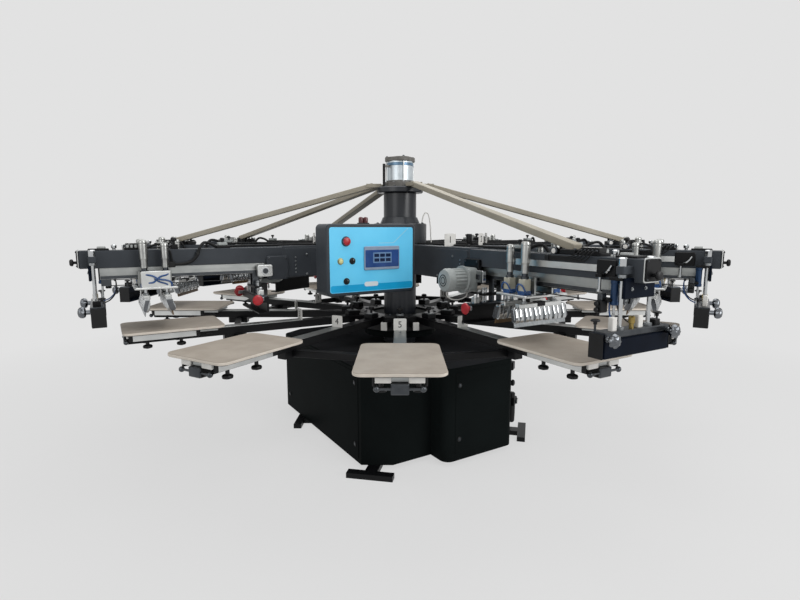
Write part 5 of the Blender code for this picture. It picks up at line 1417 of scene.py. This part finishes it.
collar = [(0.1235, 0.653), (0.235, 0.653), (0.235, 0.664), (0.229, 0.668), (0.1235, 0.668)]
roof_plan = drawn_in(skirt_plan(), ROOF_INSET)
roof_levels = (SKIRT_HIGH - SUNK, ROOF_HIGH)
roof = skin([np.column_stack([roof_plan, np.full(len(roof_plan), z)]) for z in roof_levels])
skirt = [(skirt_shape(), gloss_black), (roof, matt_black), (on_axis(collar, 56, hollow=True), matt_black)]
for side in (-1, 1):
    face = side * SKIRT_SIDE
    proud = face + side * COVER_PROUD
    cover = slab((-0.750, face - side * 0.001, 0.060), (0.530, proud, 0.630), 0.001, 1, 0.012)
    skirt.append((cover, gloss_black))
    for x, z in SIDE_LATCHES:
        skirt += latch((x, proud, z), (0, side, 0))
front, rear = CABINET_FRONT + COVER_PROUD, SKIRT_BACK - COVER_PROUD
skirt += [(slab((CABINET_FRONT - 0.001, -0.105, 0.080), (front, 0.335, 0.625), 0.001, 0, 0.012), gloss_black),
          (slab((rear, -0.420, 0.080), (SKIRT_BACK + 0.001, 0.420, 0.625), 0.001, 0, 0.012), gloss_black)]
for z in (0.180, 0.540):
    skirt += latch((front, -0.075, z), OUT) + latch((rear, 0.380, z), (-1, 0, 0))
for z in BACK_SLOTS:
    slot = slab((SKIRT_BACK - 0.006, -0.250, z), (SKIRT_BACK - 0.001, 0.150, z + 0.010), 0.0015)
    skirt.append((slot, satin_black))
piece("base_covers", swung(skirt, BASE_AZIMUTH), "base", ["base_skirt"])
print(len(skirt), "shapes in the skirt and its covers")

# %% [markdown]
# On one cut corner of the base hangs the air preparation unit: a filter bowl, a regulator with its gauge
# and a stop valve. It is drawn facing +X and swung to that corner, which is easier than drawing it aslant.

# %% Air unit
CORNER_AZIMUTH, CORNER_FACE, CORNER_MIDDLE = 32.9, 0.8248, 0.133
bowl = [(0.018, 0), (0.024, 0.010), (0.026, 0.070), (0.026, 0.128), (0.022, 0.135)]
bonnet = [(0.020, 0), (0.024, 0.004), (0.024, 0.036), (0.018, 0.042)]
x, y = CORNER_FACE, CORNER_MIDDLE
air_unit = [(slab((x - 0.002, y - 0.055, 0.220), (x + 0.010, y + 0.055, 0.310), 0.003), satin_black),
            (slab((x + 0.008, y - 0.044, 0.235), (x + 0.062, y + 0.044, 0.290), 0.005), satin_black),
            (turned(bowl, (x + 0.034, y - 0.012, 0.105), UP), black_plastic),
            (turned(bonnet, (x + 0.034, y - 0.012, 0.289), UP), black_plastic),
            (disc((x + 0.060, y + 0.014, 0.262), OUT, 0.022, 0.012, 24), gunmetal),
            (disc((x + 0.0715, y + 0.014, 0.262), OUT, 0.018, 0.001, 24), white_plate),
            (slab((x - 0.002, y - 0.030, 0.500), (x + 0.042, y + 0.030, 0.560), 0.005), satin_black)]
air_unit += mushroom((x - 0.001, y, 0.400), OUT, 0.024, 0.050, black_plastic)
piece("air_unit", swung(air_unit, BASE_AZIMUTH + CORNER_AZIMUTH), "base")
print(len(air_unit), "shapes in the air unit")

# %% [markdown]
# The control panel is a shallow steel case on an arm from the hub, turned towards the operator. It is
# drawn flat, with x across, y up and z out of its face, and one matrix carries it into place. It could be
# drawn aslant in the machine's frame, but flat numbers are easier to read and to change.

# %% Panel case
PANEL_PLACE = np.array([-0.163, -0.800, 1.348])
PANEL_AZIMUTH = 33.0
PANEL_HALF_WIDTH, PANEL_HALF_HEIGHT, PANEL_DEPTH = 0.310, 0.2125, 0.150
facing = np.array([math.sin(math.radians(PANEL_AZIMUTH)), -math.cos(math.radians(PANEL_AZIMUTH)), 0])
across = np.array([-facing[1], facing[0], 0])
PANEL_AXES = np.stack([across, UP, facing])
# Directions on the panel's own axes.
OFF_FACE, OFF_BACK, OFF_TOP, OFF_FOOT = (0, 0, 1), (0, 0, -1), (0, 1, 0), (0, -1, 0)
CASE_SLOTS = [-0.090 + 0.018 * step for step in range(7)]


def on_panel(parts):
    """Shapes drawn on the panel's own axes, carried into the machine's frame."""
    return [(Shape(one.points @ PANEL_AXES + PANEL_PLACE, one.quads, one.ends, one.own), finish)
            for one, finish in parts]


w, h = PANEL_HALF_WIDTH, PANEL_HALF_HEIGHT
case = [(slab((-w, -h, -PANEL_DEPTH), (w, h, 0.0), 0.006, 2, 0.030, 7), slate)]
for y in CASE_SLOTS:
    slot = slab((0.100, y, -PANEL_DEPTH - 0.003), (0.240, y + 0.009, -PANEL_DEPTH + 0.001), 0.002)
    case.append((slot, satin_black))
for x in (-0.285, 0.285):
    for y in (-0.185, 0.185):
        case += bolt((x, y, -PANEL_DEPTH), OFF_BACK, 0.006)
gland = [(0.018, 0), (0.018, 0.012), (0.013, 0.026)]
case.append((turned(gland, (-0.180, -h, -0.080), OFF_FOOT), black_plastic))
piece("panel_box", on_panel(case), "base", ["panel_case"])
print(len(case), "shapes in the panel's case")

# %% [markdown]
# The fascia is printed film: a sky-blue ground, a cyan band below, a thin slanted line and a plain white
# label. The print could be painted by a material, but sheets a fraction of a millimetre thick keep their
# edges sharp from near by. Rings for the buttons and selectors stand on it.

# %% Fascia
FASCIA_HALF_WIDTH, FASCIA_HALF_HEIGHT = 0.290, 0.1925
FILM_BASE, FILM_LAYER = 0.0006, 0.0003
LAMP_PLACE, STOP_PLACE = (-0.221, -0.006), (-0.183, 0.110)
MODE_PLACE, POWER_PLACE = (-0.143, -0.006), (-0.183, -0.125)


def film(left, bottom, right, top, layer, corner=0.004):
    """A printed area: a sheet a third of a millimetre thick on the layer below it."""
    base = FILM_BASE + FILM_LAYER * layer
    return slab((left, bottom, base - 0.0004), (right, top, base + FILM_LAYER), 0.0001, 2, corner, 6)


def button_ring(place, bore, radius, finish):
    """The ring in which a button or selector sits; a button goes down into its bore."""
    profile = [(bore, 0), (radius, 0), (radius, 0.002), (radius - 0.002, 0.003), (bore, 0.0026)]
    return turned(profile, (*place, FILM_BASE + FILM_LAYER), OFF_FACE, 28, hollow=True), finish


slanted = [(0.040, 0.096), (0.1455, 0.096), (0.256, 0.1872), (0.254, 0.1892), (0.1445, 0.0985),
           (0.040, 0.0985)]
w, h = FASCIA_HALF_WIDTH, FASCIA_HALF_HEIGHT
fascia = [(slab((-w, -h, -0.003), (w, h, FILM_BASE), 0.0004, 2, 0.015, 7), sky_film),
          (film(-0.286, -0.1885, 0.286, -0.148, 1, 0.012), cyan_film),
          (carried(slanted, 2, 0.0005, 0.0010), pale_film),
          (film(-0.062, -0.163, 0.034, -0.135, 2, 0.013), white_film),
          button_ring(LAMP_PLACE, 0.0146, 0.0190, brass),
          button_ring(STOP_PLACE, 0.0248, 0.0290, black_plastic),
          button_ring(MODE_PLACE, 0.0125, 0.020, black_plastic),
          button_ring(POWER_PLACE, 0.0125, 0.020, black_plastic)]
piece("panel_face", on_panel(fascia), "base", ["panel_fascia"])
print(len(fascia), "shapes on the panel's face")

# %% [markdown]
# A square arm carries the panel from the hub. It runs level from the hub's side to the middle of the
# case's back, where a flange meets it, so a bar between two points draws it.

# %% Panel arm
ARM_FROM_AXIS, PANEL_ARM_SIDE = 0.185, 0.070
case_back = PANEL_PLACE - facing * (PANEL_DEPTH + 0.001)
hub_side = unit((case_back[0], case_back[1], 0)) * ARM_FROM_AXIS + (0, 0, PANEL_PLACE[2])
flange = slab((-0.070, -0.055, -PANEL_DEPTH - 0.012), (0.070, 0.055, -PANEL_DEPTH), 0.003, 2, 0.010)
panel_arm = [(bar(hub_side, case_back, PANEL_ARM_SIDE, PANEL_ARM_SIDE, 0.006), satin_black)]
panel_arm += on_panel([(flange, satin_black)])
piece("panel_arm", panel_arm, "base", ["print_spider"])
print(counted("panel"), "pieces of the panel")

# %% [markdown]
# The operator's screen is a grey bezel round dark glass, with a plain picture of six tiles. An image would
# be the usual way; thin layers of glass in three tones show the same from across the room.

# %% Operator's screen
SCREEN_X, SCREEN_Y, SCREEN_HALF_WIDTH, SCREEN_HALF_HEIGHT = 0.060, 0.007, 0.125, 0.0715
GLASS_SIDE, GLASS_TOP, GLASS_FOOT = 0.006, 0.022, 0.016
TILE_WIDTH, TILE_HEIGHT = 0.034, 0.020
TILE_LEFTS = [-0.058 + 0.041 * column for column in range(3)]
TILE_FEET = [-0.022 + 0.028 * row for row in range(2)]


def on_screen(left, bottom, right, top, low, high, finish):
    """A thin slab between two heights over the fascia, placed from the screen's middle."""
    corners = (SCREEN_X + left, SCREEN_Y + bottom, low), (SCREEN_X + right, SCREEN_Y + top, high)
    return slab(*corners, 0.0004, 2, 0.003), finish


w, h = SCREEN_HALF_WIDTH, SCREEN_HALF_HEIGHT
bezel = slab((SCREEN_X - w, SCREEN_Y - h, 0.0010), (SCREEN_X + w, SCREEN_Y + h, 0.010), 0.003, 2, 0.008, 5)
screen = [(bezel, bezel_grey),
          on_screen(GLASS_SIDE - w, GLASS_FOOT - h, w - GLASS_SIDE, h - GLASS_TOP, 0.009, 0.0104,
                    screen_blue),
          on_screen(-0.066, -0.030, 0.066, 0.034, 0.010, 0.0108, screen_pale)]
for left in TILE_LEFTS:
    for foot in TILE_FEET:
        screen.append(on_screen(left, foot, left + TILE_WIDTH, foot + TILE_HEIGHT, 0.0105, 0.0111,
                                screen_dark))
piece("operator_screen", on_panel(screen), "base", ["touch_screen"])
print(len(screen), "layers in the screen")

# %% [markdown]
# The stop button, the lamp button and two selectors are turned knobs, and each rides on its own body, so
# that it can be pressed or turned. A button's foot reaches down through its ring, so that no gap shows
# under its head.

# %% Buttons and selectors
stop = [(0.011, -0.030), (0.011, 0.0076), (0.022, 0.0076), (0.024, 0.0096), (0.024, 0.014), (0.021, 0.0195),
        (0.012, 0.0222), (0.004, 0.0226)]
lamp = [(0.009, -0.030), (0.009, 0.0058), (0.013, 0.0058), (0.014, 0.0078), (0.0135, 0.011), (0.009, 0.0138),
        (0.003, 0.0143)]
for name, profile, place, finish, slot, node in (
        ("stop_mushroom", stop, STOP_PLACE, red_plastic, "red_plastic", "estop_button"),
        ("lamp_button", lamp, LAMP_PLACE, yellow_lens, "yellow_lens", "start_button")):
    piece(name, on_panel([(turned(profile, (*place, 0), OFF_FACE, 36), finish)]), node, [node])


def selector_parts(x, y):
    """A turned knob, the grip across it and the white line that points to its place."""
    knob = [(0.008, -0.030), (0.008, 0.0044), (0.013, 0.0044), (0.014, 0.006), (0.0135, 0.010),
            (0.011, 0.0112), (0.003, 0.0112)]
    grip = slab((x - 0.004, y - 0.012, 0.010), (x + 0.004, y + 0.012, 0.020), 0.002, 2, 0.003)
    pointer = slab((x - 0.0008, y + 0.003, 0.0196), (x + 0.0008, y + 0.011, 0.0202), 0.0002, 2)
    return [(turned(knob, (x, y, 0), OFF_FACE, 28), black_plastic), (grip, black_plastic),
            (pointer, white_plate)]


for node, place in (("selector_mode", MODE_PLACE), ("selector_power", POWER_PLACE)):
    piece(f"{node}_knob", on_panel(selector_parts(*place)), node, [node])
print(counted("selector"), "selectors")

# %% [markdown]
# On the case's top stands a double beacon: two dark red caps on one black foot, off while the press waits.
# A lit cap would take an emission shader; an unlit one is only a dark, shiny plastic on a turned profile
# that rounds in at its top.

# %% Beacon
top = PANEL_HALF_HEIGHT
beacon = [(slab((-0.060, top, -0.094), (0.010, top + 0.007, -0.056), 0.002, 1, 0.006), black_plastic)]
dome = [(0.014, 0), (0.015, 0.002), (0.015, 0.026), (0.012, 0.033), (0.006, 0.0355), (0.002, 0.036)]
for x in (-0.041, -0.009):
    beacon.append((turned(dome, (x, top + 0.0065, -0.075), OFF_TOP, 28), red_lens))
piece("beacon_caps", on_panel(beacon), "base", ["beacon_lamp"])
print(len(beacon), "shapes in the beacon")

# %% [markdown]
# Some solids are plain and right as they are: the legs and cross feet, and the gear inside the base and
# the column. They keep their meshes and take a finish from above.

# %% Solids that stay
STAYING = {"base_frame": satin_black, "index_gearmotor": motor_grey, "lift_rod": chrome,
           "lift_sleeve": gloss_black}
for node, finish in STAYING.items():
    solid = frame["nodes"][node]
    solid.data.materials.clear()
    solid.data.materials.append(finish)
print(len(STAYING), "solids keep their shape")

# %% [markdown]
# Four large soft lamps light the machine: a key from the right, a weak fill from the left, one overhead and
# one behind. Spots or a sun would throw hard shadows. An area lamp shines along its own -Z, so each is
# turned until that axis meets the machine's middle.

# %% Lamps
LAMPS = {"key": ((4.4, -3.9, 3.2), 3.0, 150), "fill": ((-3.4, -4.6, 2.8), 3.0, 40),
         "top": ((0.0, -0.5, 5.2), 5.0, 150), "back": ((0.0, 5.2, 3.8), 4.0, 60)}
TARGET = np.array([0.0, 0.0, 1.0])
for name, (place, size, watts) in LAMPS.items():
    light = bpy.data.lights.new(name, "AREA")
    light.energy = watts
    light.size = size
    soft = bpy.data.objects.new(name, light)
    soft.location = place
    way = unit(TARGET - place)
    soft.rotation_euler = (math.acos(-way[2]), 0, math.atan2(way[1], way[0]) - math.pi / 2)
    bpy.context.scene.collection.objects.link(soft)
print(len(LAMPS), "soft lamps")

# %% [markdown]
# The machine stands in an even pale room. The floor takes its shadow near by and fades, with distance,
# into the room's own colour, so that no horizon is seen. A curved backdrop would do the same from one side
# only; a floor that fades does it from all of them.

# %% Floor
ROOM = linear("e2e2e2")
PAPER = linear("d8d8d8")
FLOOR_HALF, SHADOW_REACH, ROOM_REACH, NEAR_GLOW = 40.0, 2.4, 5.5, 0.76


def seen_directly(tree):
    """One where the ray comes from the camera or from a mirror or glass, else nought."""
    path = add(tree, "ShaderNodeLightPath").outputs
    seen = path["Is Camera Ray"]
    for kind in ("Is Glossy Ray", "Is Transmission Ray"):
        seen = add(tree, "ShaderNodeMath", {0: seen, 1: path[kind]}, operation="MAXIMUM").outputs["Value"]
    return seen


floor_mesh = bpy.data.meshes.new("floor")
corners = [(-FLOOR_HALF, -FLOOR_HALF, 0), (FLOOR_HALF, -FLOOR_HALF, 0), (FLOOR_HALF, FLOOR_HALF, 0),
           (-FLOOR_HALF, FLOOR_HALF, 0)]
floor_mesh.from_pydata(corners, [], [(0, 1, 2, 3)])
floor = bpy.data.objects.new("floor", floor_mesh)
bpy.context.scene.collection.objects.link(floor)

paper = bpy.data.materials.new("pale_paper_floor")
paper.use_nodes = True
tree = paper.node_tree
tree.nodes.remove(tree.nodes["Principled BSDF"])
place = add(tree, "ShaderNodeTexCoord").outputs["Object"]
distance = add(tree, "ShaderNodeVectorMath", {0: place}, operation="LENGTH").outputs["Value"]
far = add(tree, "ShaderNodeMapRange", {"Value": distance, "From Min": SHADOW_REACH, "From Max": ROOM_REACH,
                                       "To Min": NEAR_GLOW, "To Max": 1.0}).outputs["Result"]
share = add(tree, "ShaderNodeMath", {0: far, 1: seen_directly(tree)}, operation="MULTIPLY").outputs["Value"]
lit = add(tree, "ShaderNodeBsdfDiffuse", {"Color": PAPER})
glow = add(tree, "ShaderNodeEmission", {"Color": ROOM, "Strength": 1.0})
mixed = add(tree, "ShaderNodeMixShader", {0: share, 1: lit.outputs[0], 2: glow.outputs[0]})
tree.links.new(mixed.outputs[0], tree.nodes["Material Output"].inputs["Surface"])
floor_mesh.materials.append(paper)
print("the floor fades from", SHADOW_REACH, "to", ROOM_REACH, "m from the axis")

# %% [markdown]
# The world shows the room's colour to the camera and in reflections. Light that only falls on things takes
# a lower strength instead, so that the lamps can shape the machine.

# %% Room
AMBIENT = 0.50
world = bpy.data.worlds.new("room")
world.use_nodes = True
bpy.context.scene.world = world
tree = world.node_tree
strength = add(tree, "ShaderNodeMapRange", {"Value": seen_directly(tree), "To Min": AMBIENT, "To Max": 1.0})
tree.links.new(strength.outputs["Result"], tree.nodes["Background"].inputs["Strength"])
tree.nodes["Background"].inputs["Color"].default_value = ROOM
print("room colour", [round(c, 3) for c in ROOM[:3]])

# %% [markdown]
# Last, the size rule: the dress may stand only a little proud of the solids.

# %% Finish
print("the machine is dressed")
